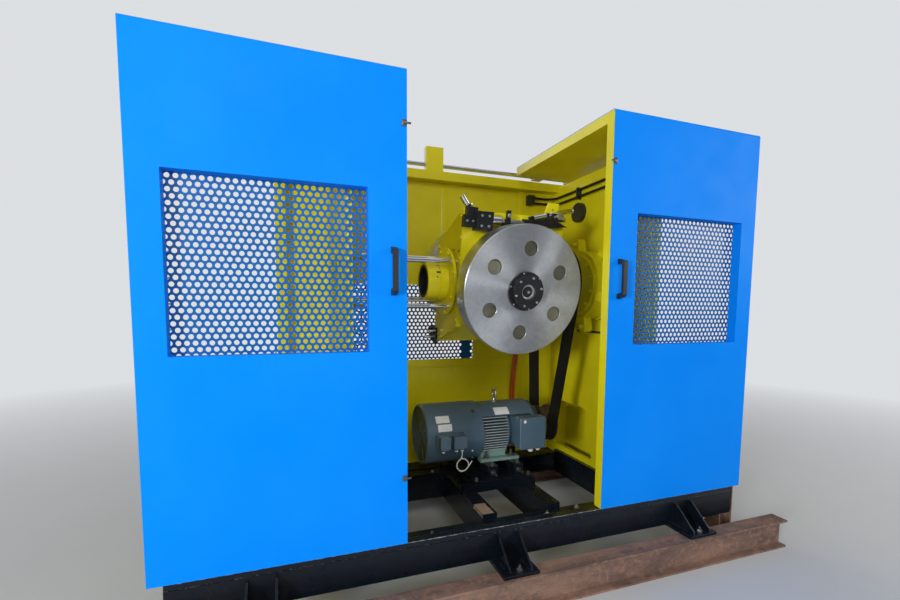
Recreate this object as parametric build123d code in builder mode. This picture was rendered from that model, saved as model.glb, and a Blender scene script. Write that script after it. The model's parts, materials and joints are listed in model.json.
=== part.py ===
"""Cable taping machine: a taping head in a sliding two-hood enclosure, on a welded base and two beams.

Millimetres. +X runs along the cable path, the operator's side faces -Y and +Z is up. The origin is on the
floor under the middle of the machine. The hoods stand open, as pushed to the machine's two ends.
"""
from build123d import *
from math import cos, radians, sin, sqrt, tan
import os

os.makedirs("parts", exist_ok=True)

# Driving sizes: support beams and base
beam_length = 3400.0
beam_height = 160.0
beam_flange = 90.0
beam_flange_thickness = 11.0
beam_web = 8.0
beam_setback = 75.0            # from the base to the near edge of a beam
base_length = 2900.0
base_depth = 1070.0
rail_height = 130.0
rail_width = 140.0
rail_wall = 10.0
track_height = 25.0
track_width = 44.0
track_setback = 4.0
cross_height = 160.0
cross_width = 80.0
cross_wall = 9.0
end_cross_inset = 70.0         # from the base's end to the middle of its end cross member
motor_cross_x = 321.0
short_cross_x = -50.0
long_beam_front = 215.0
foot_plate_length = 180.0
foot_plate_thickness = 15.0
foot_overlap = 30.0            # how far a foot plate reaches past the beam's middle
foot_positions = (-1109.0, -18.0, 1073.0)
foot_bolt_radius = 9.0
gusset_thickness = 10.0
gusset_spacing = 110.0
gusset_height = 118.0
gusset_toe = 14.0
gusset_top = 16.0
gusset_margin = 12.0
post_size = 100.0
post_height = 445.0
post_wall = 9.0
post_y = -420.0

# Driving sizes: sliding hoods
hood_length = 985.0
hood_gap = 1030.0              # between the hoods, when both stand open
closed_gap = 6.0               # between the hoods, when both are shut
hood_height = 2000.0
hood_depth = 995.0
hood_thickness = 55.0
hood_overhang = 7.0            # of the doors past the base's front
hood_clearance = 5.0           # under the doors and behind the roofs
skin = 3.0
skin_bend = 12.0
window_width = 722.0
window_height = 664.0
window_sill = 852.0
window_handle_margin = 160.0
window_recess = 51.0
window_corner = 6.0
screen_thickness = 3.0
handle_length = 200.0
handle_bar = 22.0
handle_reach = 48.0
handle_splay = 14.0
handle_leg = 26.0
handle_wall = 16.0
handle_corner = 10.0
handle_inset = 58.0
handle_middle = 1185.0
roller_radius = 30.0
roller_width = 22.0
roller_axle = 8.0              # radius
roller_axle_reach = 3.0
roller_inset = 150.0
roller_room = 6.0              # round a roller, in its pocket
roller_side_room = 3.0
running_gap = 0.3

# Driving sizes: rear wall, bulkheads and guide rod
wall_length = 2106.0
wall_sheet = 4.0
wall_post = 60.0
top_beam_height = 55.0
top_beam_underside = 2200.0
rear_window_left = -662.0
rear_window_width = 895.0
rear_window_bottom = 1017.0
rear_window_height = 506.0
screen_overlap = 25.0
rod_radius = 12.5
rod_height = 2300.0
rod_setback = 37.0             # rod's middle in front of the wall's back face
rod_seat = 12.0                # metal round the rod
end_block_length = 24.0
centre_block_middle = -72.0
centre_block_length = 117.0
centre_block_top = 2410.0
bracket_positions = (188.0, 460.0)
bracket_length = 70.0
bracket_drop = 20.0
bracket_rise = 24.0
bracket_reach = 27.0
bulkhead_thickness = 25.0
bulkhead_top = 2240.0
bulkhead_clearance = 7.0       # behind the doors
left_bulkhead_face = -755.0
left_bulkhead_bore = 121.0
right_bulkhead_face = 865.0
arch_front = 8.0
arch_width = 440.0
arch_top = 705.0
arch_sill = 375.0
arch_corner = 110.0

# Driving sizes: taping head
axis_y = 23.0
axis_z = 1517.5
head_tilt = 9.2                # degrees that the head stands turned, rear side up
head_left = -138.0
head_right = 460.0
head_plate = 25.0
head_half_width = 182.0
head_tall_corner = 395.0
head_low_corner = 222.0
side_plate = 20.0
side_plate_setback = 12.0
cable_bore = 60.0              # radius
nose_radius = 105.0
nose_bore = 91.0
nose_end = -280.0
nose_seam = -213.0
nose_groove = 2.0
collar_radius = 107.5
flange_radius = 187.0
flange_thickness = 14.0
flange_standoff = 14.0
flange_neck_radius = 148.0
shaft_radius = 80.0
shaft_end = 1060.0
shaft_shoulder = 40.0
cage_rod_radius = 12.5
cage_rod_side = 111.0
cage_rod_rise = 120.0
cage_ring_x = -715.0
cage_ring_thickness = 22.0
cage_ring_radius = 190.0
pad_x = 150.5
pad_radius = 333.5
pad_outer_face = 380.0         # from the cable axis
pad_depth = 110.0
pad_wall = 6.0
pad_disc = 8.0
pad_edge = 4.0
pad_hole_radius = 38.0
pad_hole_circle = 215.0
pad_hole_phase = 87.3
pad_holes = 6
spindle_radius = 30.0
spindle_fit = 0.1
spindle_end_gap = 4.0
boss_margin = 34.0
boss_height = 24.0
hub_radius = 99.0
hub_flange = 12.0
hub_drum_radius = 84.0
hub_rise = 26.0
hub_recess_radius = 38.0
hub_recess_depth = 12.0
hub_boss_radius = 20.0

# Driving sizes: tape guide gear, in the head's own frame
gear_block_left = -85.0
gear_block_length = 90.0
gear_block_depth = 63.0
gear_block_bottom = 285.0
gear_block_top = 382.0
gear_slide_length = 60.0
gear_slide_bottom = 300.0
gear_slide_top = 362.0
gear_clamp_left = -130.0
gear_clamp_length = 55.0
gear_clamp_top = 400.0
gear_slide_depth = 43.0
gear_bar_radius = 23.0
gear_bar_rise = 340.0
gear_bar_reach = 215.0
gear_thin_bar_radius = 13.0
gear_thick_bar = 55.0
gear_thin_bar = 128.0
gear_collar_length = 46.0
gear_collar_radius = 21.0
gear_support_x = 91.0
gear_support_width = 26.0
gear_support_bottom = 300.0
gear_eye_width = 20.0
gear_eye_top = 398.0
gear_arm_slope = 13.5          # degrees
gear_arm_rise = 366.0          # of the first roller's left end
gear_arm_drop = 34.0
gear_arm_shoulder = 13.0
gear_arm_reach = 100.0
gear_arm_tip_drop = 80.0
gear_cheek = 6.0
gear_lug_margin = 3.0
gear_arm_thickness = 20.0
gear_roller_radius = 9.0
gear_lug = 14.0
short_roller = 80.0
long_roller = 150.0
tip_roller_length = 54.0
tip_roller_x = -112.0
tip_roller_rise = 398.0
tip_roller_turn = 129.0        # degrees
lower_bracket_drop = 292.0
lower_bracket_height = 98.0
lower_bracket_front = 130.0
lower_bracket_width = 105.0
lower_bracket_plate = 12.0
lower_roller_length = 46.0
ear_left = 322.0
ear_length = 94.0
ear_top = 458.0
ear_thickness = 12.0
ear_hole = 9.0

# Driving sizes: drive
pulley_x = 555.0
pulley_width = 75.0
pulley_radius = 230.0
pulley_rim = 34.0
pulley_web = 26.0
pulley_hub_radius = 112.0
pulley_web_hole = 32.0
pulley_web_holes = 5
belt_width = 70.0
belt_thickness = 10.0
motor_pulley_radius = 100.0
motor_pulley_flange = 116.0
motor_pulley_flange_thickness = 5.0
motor_pulley_dish = 20.0

# Driving sizes: bearing housing
housing_radius = 212.0
housing_length = 143.0
housing_ring_radius = 226.0
housing_ring = 22.0
housing_nose = 14.0
housing_nose_radius = 186.0
bearing_gap = 0.1              # between the shaft and its bearing
shaft_relief = 12.0            # round the shaft in the right bulkhead
lug_phase = 80.0
lug_count = 6
lug_width = 56.0
lug_reach = 296.0
lug_left = 740.0
lug_length = 55.0
lug_corner = 20.0
latch_rod_radius = 7.0
latch_rod_drop = 83.5           # under the housing
latch_rod_standoff = 25.0
latch_rod_front = -200.0
latch_rod_rear = 195.0
latch_post_width = 36.0
latch_post_drop = 17.0
latch_rib_y = 69.0
latch_rib = 14.0

# Driving sizes: motor
motor_y = 108.0
motor_z = 629.0
cowl_left = -280.0
cowl_length = 343.0
cowl_radius = 175.0
cowl_wall = 12.0
cowl_recess = 14.0
cowl_edge = 6.0
frame_length = 340.0
frame_radius = 125.0
frame_flange = 10.0
fin_reach = 166.0
fin_thickness = 6.0
fin_pitch = 16.0
fin_rows = 13
fin_length = 163.0             # on the terminal box's side
fin_ring = 8.0
fin_ring_radius = 156.0
bell_length = 80.0
bell_radius = 158.0
bell_nose_radius = 98.0
bell_rim = 12.0
bell_ribs = 12
bell_rib = 5.0
bell_rib_reach = 8.0
motor_shaft_radius = 24.0
shaft_height = 160.0
foot_left = 50.0
foot_length = 250.0
foot_width = 56.0
foot_thickness = 18.0
foot_web = 16.0
foot_web_inset = 16.0
slide_rail_width = 60.0
slide_rail_inset = 14.0
slide_rail_half_length = 235.0
motor_plate_left = -20.0
motor_plate_length = 361.0
motor_plate_half_width = 250.0
motor_plate = 20.0
packing_height = 40.0
packing_width = 50.0
terminal_left = 250.5
terminal_length = 171.0
terminal_bottom = 552.0
terminal_height = 188.0
terminal_front = -150.0
terminal_depth = 60.0
terminal_corner = 12.0
terminal_edge = 5.0
terminal_neck_inset = 11.0
terminal_neck_length = 128.0
terminal_neck_margin = 15.0
box_front = -142.0
box_tops = 663.0
box_corner = 5.0
small_box_left = -227.0
small_box_length = 58.0
small_box_height = 70.0
small_box_gland = 22.0
large_box_left = -147.0
large_box_length = 78.0
large_box_height = 72.0
large_box_setback = 8.0
large_box_glands = (20.0, 54.0)
box_depth = 52.0
box_tray_margin = 5.0
box_tray_depth = 32.0
box_tray_bottom = 600.0
box_edge = 3.0
gland_radius = 9.0
gland_length = 16.0

# Driving sizes: hoses and leads that the machine holds along their whole run
hose_radius = 8.0
hose_standoff = 20.0
upper_hose_height = 2157.0
lower_hose_height = 2113.0
hose_front = -330.0
hose_rear_end = 680.0
hose_wall_gap = 24.0
hose_corner = 80.0
hose_clamp_y = 201.0
hose_clamp_width = 14.0
grommet_radius = 63.0
grommet_thickness = 28.0
grommet_y = 201.0
grommet_z = 2009.0
orange_radius = 8.5
orange_top = 1230.0
orange_spacing = 19.0
orange_bend_rise = 860.0
fitting_size = 46.0
lead_radius = 2.75
lead_coil_radius = 36.0
lead_coil_section = 6.5
lead_coil_middle = (-90.0, 495.0)

# Places worked out from the sizes above
rail_bottom = beam_height + foot_plate_thickness
rail_top = rail_bottom + rail_height
track_top = rail_top + track_height
cross_top = rail_bottom + cross_height
door_bottom = track_top + hood_clearance
base_front = -base_depth / 2
base_rear = base_depth / 2
hood_front = base_front - hood_overhang
hood_inner = hood_front + hood_thickness
hood_rear = hood_front + hood_depth
hood_top = door_bottom + hood_height
roof_underside = hood_top - hood_thickness
hood_travel = (hood_gap - closed_gap) / 2
beam_y = base_rear + beam_setback + beam_flange / 2
wall_inner = base_rear - wall_sheet
top_beam_front = hood_rear + hood_clearance
rod_y = base_rear - rod_setback
bulkhead_front = hood_inner + bulkhead_clearance
track_middle = base_front + track_setback + track_width / 2
flange_right = head_left - flange_standoff
flange_left = flange_right - flange_thickness


def save(piece, name):
    """Labels a finished sub-part and writes its STEP file."""
    piece.part.label = name
    export_step(piece.part, f"parts/{name}.step")


def section(x, y=0.0, z=0.0):
    """A plane across the machine at x, whose own x runs along +Y and whose own y runs along +Z."""
    return Plane(origin=(x, y, z), x_dir=(0, 1, 0), z_dir=(1, 0, 0))


tilt = radians(head_tilt)
head = Plane(origin=(0, axis_y, axis_z), x_dir=(1, 0, 0), z_dir=(0, -sin(tilt), cos(tilt)))
head_axis_dir = Vector(0, cos(tilt), sin(tilt))
cable_axis = Axis((0, axis_y, axis_z), (1, 0, 0))


def head_section(x):
    """A plane across the head at x, in the head's own turned frame."""
    return Plane(origin=head.from_local_coords(Vector(x, 0, 0)), x_dir=head_axis_dir, z_dir=(1, 0, 0))


def head_side(x, reach, z=0.0, front=True):
    """A plane parallel to the head's side plates, facing outwards, with its own x along the cable."""
    way = -1.0 if front else 1.0
    origin = head.from_local_coords(Vector(x, way * reach, z))
    return Plane(origin=origin, x_dir=(-way, 0, 0), z_dir=head_axis_dir * way)


def block(low, high):
    """Adds a plain block between two corners to the sub-part that is being made."""
    with Locations(tuple((start + end) / 2 for start, end in zip(low, high))):
        Box(*[end - start for start, end in zip(low, high)])


# Support beams under the feet, one at the front and one at the rear
flange_middle = (beam_height - beam_flange_thickness) / 2
with BuildPart() as support_beams:
    for way in (-1, 1):
        with BuildSketch(section(-beam_length / 2, way * beam_y, beam_height / 2)):
            Rectangle(beam_web, beam_height)
            with Locations((0, flange_middle), (0, -flange_middle)):
                Rectangle(beam_flange, beam_flange_thickness)
        extrude(amount=beam_length)
save(support_beams, "support_beams")

# Short upright at the right end of the base
with BuildPart() as end_post:
    with BuildSketch(Plane.XY):
        with Locations((base_length / 2 + post_size / 2, post_y)):
            Rectangle(post_size, post_wall)
            with Locations((post_wall / 2 - post_size / 2, 0), (post_size / 2 - post_wall / 2, 0)):
                Rectangle(post_wall, post_size)
    extrude(amount=post_height)
save(end_post, "end_post")

# Base: two channel rails, cross members between them, a long beam under the motor, and feet
with BuildPart() as base_rails:
    for way in (-1, 1):
        with BuildSketch(section(-base_length / 2)):
            with Locations((way * (base_rear - rail_width / 2), rail_bottom + rail_height / 2)):
                Rectangle(rail_width, rail_height)
            with Locations((way * (base_rear - rail_width / 2 - rail_wall), rail_bottom + rail_height / 2)):
                Rectangle(rail_width, rail_height - 2 * rail_wall, mode=Mode.SUBTRACT)
        extrude(amount=base_length)
        with BuildSketch(Plane.XY.offset(rail_bottom)):
            for end in (-1, 1):
                with Locations((end * (base_length / 2 - rail_wall / 2), way * (base_rear - rail_width / 2))):
                    Rectangle(rail_wall, rail_width)
        extrude(amount=rail_height)
save(base_rails, "base_rails")

end_cross_x = base_length / 2 - end_cross_inset
left_cross_x = left_bulkhead_face + bulkhead_thickness / 2
right_cross_x = right_bulkhead_face + bulkhead_thickness / 2
cross_front = rail_width - base_rear
cross_middle = rail_bottom + cross_height / 2
cross_members_x = (-end_cross_x, left_cross_x, motor_cross_x, right_cross_x, end_cross_x)
cross_members_y = {x: -cross_front for x in cross_members_x}
cross_members_y[short_cross_x] = long_beam_front
with BuildPart() as cross_members:
    for cross_x, cross_rear in cross_members_y.items():
        with BuildSketch(Plane.XZ.offset(-cross_front)):
            with Locations((cross_x, cross_middle)):
                Rectangle(cross_width, cross_height)
                Rectangle(cross_width - 2 * cross_wall, cross_height - 2 * cross_wall, mode=Mode.SUBTRACT)
        extrude(amount=cross_front - cross_rear)
    long_beam_left = left_cross_x + cross_width / 2
    with BuildSketch(section(long_beam_left)):
        with Locations((long_beam_front + cross_width / 2, cross_middle)):
            Rectangle(cross_width, cross_height)
            Rectangle(cross_width - 2 * cross_wall, cross_height - 2 * cross_wall, mode=Mode.SUBTRACT)
    extrude(amount=motor_cross_x - cross_width / 2 - long_beam_left)
save(cross_members, "base_cross_members")

foot_reach = beam_y + foot_overlap
foot_middle = (foot_reach + base_rear - rail_width) / 2
with BuildPart() as base_feet:
    for way in (-1, 1):
        for foot_x in foot_positions:
            with BuildSketch(Plane.XY.offset(beam_height)):
                with Locations((foot_x, way * foot_middle)):
                    Rectangle(foot_plate_length, foot_reach - base_rear + rail_width)
                with Locations((foot_x, way * beam_y)):
                    Circle(foot_bolt_radius, mode=Mode.SUBTRACT)
            extrude(amount=foot_plate_thickness)
            for rib in (-gusset_spacing / 2, gusset_spacing / 2):
                with BuildSketch(section(foot_x + rib - gusset_thickness / 2)):
                    with BuildLine():
                        toe = foot_reach - gusset_margin
                        shoulder = base_rear + gusset_top
                        Polyline((way * base_rear, rail_bottom), (way * toe, rail_bottom),
                                 (way * toe, rail_bottom + gusset_toe),
                                 (way * shoulder, rail_bottom + gusset_height),
                                 (way * base_rear, rail_bottom + gusset_height), close=True)
                    make_face()
                extrude(amount=gusset_thickness)
save(base_feet, "base_feet")

with BuildPart() as front_track:
    with BuildSketch(Plane.XY.offset(rail_top)):
        with Locations((0, track_middle)):
            Rectangle(base_length, track_width)
    extrude(amount=track_height)
save(front_track, "front_track")


# Hoods: blue outer skin over a door panel and a roof panel, screened window, handle, rollers and brackets
def hood_skin_profile():
    """The skin's section: door and roof sheets with a round bend between them."""
    with BuildSketch() as profile:
        with BuildLine():
            Polyline((hood_front, door_bottom), (hood_front, hood_top), (hood_rear, hood_top),
                     (hood_rear, hood_top - skin), (hood_front + skin, hood_top - skin),
                     (hood_front + skin, door_bottom), close=True)
        make_face()
        fillet(profile.vertices().sort_by_distance((hood_front, hood_top))[0], skin_bend)
        inner_corner = (hood_front + skin, hood_top - skin)
        fillet(profile.vertices().sort_by_distance(inner_corner)[0], skin_bend - skin)
    return profile.sketch


def hood_panels_profile():
    """The section of the door panel and the roof panel inside the skin."""
    with BuildSketch() as profile:
        with BuildLine():
            Polyline((hood_front + skin, door_bottom), (hood_front + skin, hood_top - skin),
                     (hood_rear, hood_top - skin), (hood_rear, roof_underside),
                     (hood_inner, roof_underside), (hood_inner, door_bottom), close=True)
        make_face()
        outer_corner = (hood_front + skin, hood_top - skin)
        fillet(profile.vertices().sort_by_distance(outer_corner)[0], skin_bend - skin)
    return profile.sketch


roller_z = track_top + roller_radius + running_gap
for side, way in (("left", -1.0), ("right", 1.0)):
    near_x = way * hood_gap / 2
    far_x = way * (hood_gap / 2 + hood_length)
    low_x = min(near_x, far_x)
    window_x = way * (hood_gap / 2 + window_handle_margin + window_width / 2)
    window_z = door_bottom + window_sill + window_height / 2

    with BuildPart() as hood_skin:
        with BuildSketch(section(low_x)):
            add(hood_skin_profile())
        extrude(amount=hood_length)
        with BuildSketch(Plane.XZ.offset(-hood_front)):
            with Locations((window_x, window_z)):
                Rectangle(window_width + 2 * skin, window_height + 2 * skin)
        extrude(amount=-window_recess)
        with BuildSketch(Plane.XZ.offset(-hood_front)):
            with Locations((window_x, window_z)):
                RectangleRounded(window_width, window_height, window_corner)
        extrude(amount=-hood_thickness, mode=Mode.SUBTRACT)
    save(hood_skin, f"{side}_hood_skin")

    with BuildPart() as hood_panels:
        with BuildSketch(section(low_x)):
            add(hood_panels_profile())
        extrude(amount=hood_length)
        with BuildSketch(Plane.XZ.offset(-hood_front)):
            with Locations((window_x, window_z)):
                Rectangle(window_width + 2 * skin, window_height + 2 * skin)
        extrude(amount=-hood_thickness, mode=Mode.SUBTRACT)
        with BuildSketch(Plane.XY.offset(door_bottom)):
            for inset in (roller_inset, hood_length - roller_inset):
                with Locations((way * (hood_gap / 2 + inset), track_middle)):
                    Rectangle(2 * (roller_radius + roller_room), roller_width + 2 * roller_side_room)
        extrude(amount=2 * roller_radius, mode=Mode.SUBTRACT)
    save(hood_panels, f"{side}_hood_panels")

    with BuildPart() as hood_screen:
        with BuildSketch(Plane.XZ.offset(-hood_front - window_recess)):
            with Locations((window_x, window_z)):
                Rectangle(window_width + 2 * skin, window_height + 2 * skin)
        extrude(amount=-screen_thickness)
    save(hood_screen, f"{side}_hood_screen")

    handle_x = way * (hood_gap / 2 + handle_inset)
    handle_low = door_bottom + handle_middle - handle_length / 2
    with BuildPart() as hood_handle:
        with BuildSketch(section(handle_x - handle_bar / 2, hood_front, handle_low)):
            with BuildLine():
                leg = handle_leg + handle_splay * handle_wall / handle_reach
                Polyline((0, 0), (-handle_reach, handle_splay), (-handle_reach, handle_length - handle_splay),
                         (0, handle_length), (0, handle_length - handle_leg),
                         (handle_wall - handle_reach, handle_length - leg),
                         (handle_wall - handle_reach, leg), (0, handle_leg), close=True)
            make_face()
        extrude(amount=handle_bar)
        fillet(hood_handle.edges().filter_by(Axis.X).group_by(Axis.Y)[0], handle_corner)
    save(hood_handle, f"{side}_hood_handle")

    with BuildPart() as hood_rollers:
        for inset in (roller_inset, hood_length - roller_inset):
            roller_x = way * (hood_gap / 2 + inset)
            with BuildSketch(Plane.XZ.offset(-track_middle)):
                with Locations((roller_x, roller_z)):
                    Circle(roller_radius)
            extrude(amount=roller_width / 2, both=True)
            with BuildSketch(Plane.XZ.offset(-track_middle)):
                with Locations((roller_x, roller_z)):
                    Circle(roller_axle)
            extrude(amount=roller_width / 2 + roller_axle_reach, both=True)
    save(hood_rollers, f"{side}_hood_rollers")

    with BuildPart() as hood_brackets:
        for place in bracket_positions:
            bracket_x = way * (place + hood_travel)
            with BuildSketch(section(bracket_x - bracket_length / 2)):
                with BuildLine():
                    bracket_end = rod_y + bracket_reach
                    Polyline((hood_rear, rod_height - bracket_drop), (bracket_end, rod_height - bracket_drop),
                             (bracket_end, rod_height + bracket_rise),
                             (hood_rear, rod_height + bracket_rise), close=True)
                make_face()
                with Locations((rod_y, rod_height)):
                    Circle(rod_radius + running_gap, mode=Mode.SUBTRACT)
            extrude(amount=bracket_length)
    save(hood_brackets, f"{side}_hood_brackets")

# Rear wall: back sheet with a screened window, end posts, and a beam along the top that holds the guide rod
window_mid_x = rear_window_left + rear_window_width / 2
window_mid_z = rear_window_bottom + rear_window_height / 2
with BuildPart() as rear_wall:
    with BuildSketch(Plane.XZ.offset(-wall_inner)):
        with Locations((0, (rail_top + top_beam_underside) / 2)):
            Rectangle(wall_length, top_beam_underside - rail_top)
        with Locations((window_mid_x, window_mid_z)):
            RectangleRounded(rear_window_width, rear_window_height, window_corner, mode=Mode.SUBTRACT)
    extrude(amount=-wall_sheet)
    with BuildSketch(Plane.XY.offset(rail_top)):
        for end in (-1, 1):
            with Locations((end * (wall_length / 2 - wall_post / 2), wall_inner - wall_post / 2)):
                Rectangle(wall_post, wall_post)
    extrude(amount=top_beam_underside - rail_top)
save(rear_wall, "rear_wall")

with BuildPart() as rear_screen:
    with BuildSketch(Plane.XZ.offset(-base_rear)):
        with Locations((window_mid_x, window_mid_z)):
            Rectangle(rear_window_width + 2 * screen_overlap, rear_window_height + 2 * screen_overlap)
    extrude(amount=-screen_thickness)
save(rear_screen, "rear_screen")

top_beam_top = top_beam_underside + top_beam_height
with BuildPart() as rear_top_beam:
    block((-wall_length / 2, top_beam_front, top_beam_underside),
          (wall_length / 2, base_rear, top_beam_top))
    with BuildSketch(Plane.XY.offset(top_beam_top)):
        with Locations((centre_block_middle, rod_y)):
            Rectangle(centre_block_length, 2 * (rod_radius + rod_seat))
    extrude(amount=centre_block_top - top_beam_top)
    with BuildSketch(Plane.XY.offset(top_beam_top)):
        for end in (-1, 1):
            with Locations((end * (wall_length - end_block_length) / 2, rod_y)):
                Rectangle(end_block_length, 2 * (rod_radius + rod_seat))
    extrude(amount=rod_height + rod_radius + rod_seat - top_beam_top)
    with BuildSketch(section(-wall_length / 2, rod_y, rod_height)):
        Circle(rod_radius)
    extrude(amount=wall_length, mode=Mode.SUBTRACT)
save(rear_top_beam, "rear_top_beam")

with BuildPart() as guide_rod:
    with BuildSketch(section(-wall_length / 2, rod_y, rod_height)):
        Circle(rod_radius)
    extrude(amount=wall_length)
save(guide_rod, "guide_rod")


# Bulkheads across the enclosure, notched round the top beam
def bulkhead_outline():
    """A bulkhead's outline across the machine."""
    with BuildSketch() as outline:
        with BuildLine():
            Polyline((bulkhead_front, cross_top), (bulkhead_front, bulkhead_top),
                     (top_beam_front, bulkhead_top),
                     (top_beam_front, top_beam_underside), (wall_inner, top_beam_underside),
                     (wall_inner, rail_top), (base_rear - rail_width, rail_top),
                     (base_rear - rail_width, cross_top), close=True)
        make_face()
    return outline.sketch


def arch_outline():
    """The opening low in the right bulkhead, with round upper corners."""
    with BuildSketch() as outline:
        with Locations((arch_front + arch_width / 2, (arch_sill + arch_top) / 2)):
            Rectangle(arch_width, arch_top - arch_sill)
        fillet(outline.vertices().group_by(Axis.Y)[-1], arch_corner)
    return outline.sketch


with BuildPart() as left_bulkhead:
    with BuildSketch(section(left_bulkhead_face)):
        add(bulkhead_outline())
        with Locations((axis_y, axis_z)):
            Circle(left_bulkhead_bore, mode=Mode.SUBTRACT)
    extrude(amount=bulkhead_thickness)
save(left_bulkhead, "left_bulkhead")

with BuildPart() as right_bulkhead:
    with BuildSketch(section(right_bulkhead_face)):
        add(bulkhead_outline())
        with Locations((axis_y, axis_z)):
            Circle(shaft_radius + shaft_relief, mode=Mode.SUBTRACT)
        add(arch_outline(), mode=Mode.SUBTRACT)
    extrude(amount=bulkhead_thickness)
save(right_bulkhead, "right_bulkhead")

# Main bearing housing on the right bulkhead, and the bearing ring that carries the head's shaft
housing_left = right_bulkhead_face - housing_length
with BuildPart() as bearing_housing:
    for step_left, step_radius, step_length in (
            (housing_left, housing_radius, housing_length),
            (right_bulkhead_face - housing_ring, housing_ring_radius, housing_ring),
            (housing_left - housing_nose, housing_nose_radius, housing_nose)):
        with BuildSketch(section(step_left, axis_y, axis_z)):
            Circle(step_radius)
        extrude(amount=step_length)
    with BuildSketch(section(housing_left - housing_nose, axis_y, axis_z)):
        Circle(shaft_radius + bearing_gap)
    extrude(amount=housing_length + housing_nose, mode=Mode.SUBTRACT)
save(bearing_housing, "bearing_housing")

# Lugs round the housing, and the posts under it that hold the latch rod
latch_rod_x = right_bulkhead_face - latch_rod_standoff
latch_left = latch_rod_x - 2 * latch_rod_radius
latch_rod_height = axis_z - housing_radius - latch_rod_drop
latch_floor = latch_rod_height - latch_post_drop
latch_ceiling = latch_rod_height + latch_post_drop
with BuildPart() as housing_lugs:
    with BuildSketch(section(lug_left, axis_y, axis_z)):
        with PolarLocations(lug_reach / 2, lug_count, start_angle=lug_phase):
            RectangleRounded(lug_reach, lug_width, lug_corner)
        Circle(housing_radius, mode=Mode.SUBTRACT)
    extrude(amount=lug_length)
    for post_y_middle in (latch_rod_front + latch_post_width / 2, latch_rod_rear - latch_post_width / 2):
        block((latch_left, post_y_middle - latch_post_width / 2, latch_floor),
              (right_bulkhead_face, post_y_middle + latch_post_width / 2, latch_ceiling))
    block((latch_left, latch_rib_y - latch_rib / 2, latch_floor),
          (right_bulkhead_face, latch_rib_y + latch_rib / 2, axis_z - housing_radius))
    with BuildSketch(section(latch_left, axis_y, axis_z)):
        Circle(housing_ring_radius)
    extrude(amount=right_bulkhead_face - latch_left, mode=Mode.SUBTRACT)
    with BuildSketch(Plane.XZ.offset(-latch_rod_front)):
        with Locations((latch_rod_x, latch_rod_height)):
            Circle(latch_rod_radius)
    extrude(amount=latch_rod_front - latch_rod_rear, mode=Mode.SUBTRACT)
save(housing_lugs, "housing_lugs")

# Taping head: nose tube with its flange, hollow shaft, two end plates, two side plates and the guide cage
with BuildPart() as nose_tube:
    with BuildSketch(head_side(0.0, 0.0)):
        with BuildLine():
            groove_radius = nose_radius - nose_groove
            Polyline((nose_end, nose_bore), (nose_end, groove_radius), (nose_end + nose_groove, nose_radius),
                     (nose_seam - nose_groove, nose_radius), (nose_seam - nose_groove, groove_radius),
                     (nose_seam + nose_groove, groove_radius), (nose_seam + nose_groove, collar_radius),
                     (flange_left, collar_radius), (flange_left, flange_radius),
                     (flange_right, flange_radius),
                     (flange_right, flange_neck_radius), (head_left, flange_neck_radius),
                     (head_left, nose_bore), close=True)
        make_face()
    revolve(axis=cable_axis)
    with BuildSketch(head_section(flange_left)):
        with GridLocations(2 * cage_rod_side, 2 * cage_rod_rise, 2, 2):
            Circle(cage_rod_radius)
    extrude(amount=flange_thickness, mode=Mode.SUBTRACT)
save(nose_tube, "nose_tube")

shoulder_x = head_right + shaft_shoulder
with BuildPart() as head_shaft:
    with BuildSketch(head_side(0.0, 0.0)):
        with BuildLine():
            counterbore_x = head_left + shaft_shoulder
            Polyline((head_left, nose_bore), (head_left, nose_radius), (shoulder_x, nose_radius),
                     (shoulder_x, shaft_radius), (shaft_end, shaft_radius), (shaft_end, cable_bore),
                     (counterbore_x, cable_bore), (counterbore_x, nose_bore), close=True)
        make_face()
    revolve(axis=cable_axis)
save(head_shaft, "head_shaft")

with BuildPart() as head_end_plates:
    for plate_x in (head_left, head_right - head_plate):
        with BuildSketch(head_section(plate_x)):
            with BuildLine():
                Polyline((-head_half_width, head_tall_corner), (head_half_width, head_low_corner),
                         (head_half_width, -head_tall_corner), (-head_half_width, -head_low_corner),
                         close=True)
            make_face()
            Circle(nose_radius, mode=Mode.SUBTRACT)
        extrude(amount=head_plate)
save(head_end_plates, "head_end_plates")

side_length = head_right - head_left - 2 * head_plate
side_middle = (head_left + head_right) / 2
side_top = head_tall_corner - side_plate_setback
side_bottom = side_plate_setback - head_low_corner
with BuildPart() as front_side_plate:
    with BuildSketch(head_side(side_middle, head_half_width - side_plate)):
        with Locations((0, (side_top + side_bottom) / 2)):
            Rectangle(side_length, side_top - side_bottom)
    extrude(amount=side_plate)
    with BuildSketch(head_side(0.0, head_half_width - ear_thickness)):
        with BuildLine():
            ear_right = ear_left + ear_length
            Polyline((ear_left, side_top), (ear_left + ear_thickness, side_top + ear_thickness),
                     (ear_left + ear_length / 3, ear_top), (ear_right, ear_top),
                     (ear_right, side_top), close=True)
        make_face()
        with Locations((ear_left + ear_length * 2 / 3, (side_top + ear_top) / 2)):
            Circle(ear_hole, mode=Mode.SUBTRACT)
    extrude(amount=ear_thickness)
    for round_radius, round_length in (
            (spindle_radius + boss_margin, boss_height),
            (spindle_radius, pad_outer_face - pad_disc - spindle_end_gap - head_half_width)):
        with BuildSketch(head_side(pad_x, head_half_width)):
            Circle(round_radius)
        extrude(amount=round_length)
with BuildPart() as head_side_plates:
    add(front_side_plate.part)
    add(front_side_plate.part.rotate(cable_axis, 180))
save(head_side_plates, "head_side_plates")

with BuildPart() as cage_rods:
    with BuildSketch(head_section(cage_ring_x)):
        with GridLocations(2 * cage_rod_side, 2 * cage_rod_rise, 2, 2):
            Circle(cage_rod_radius)
    extrude(amount=head_left - cage_ring_x)
save(cage_rods, "cage_rods")

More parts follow.
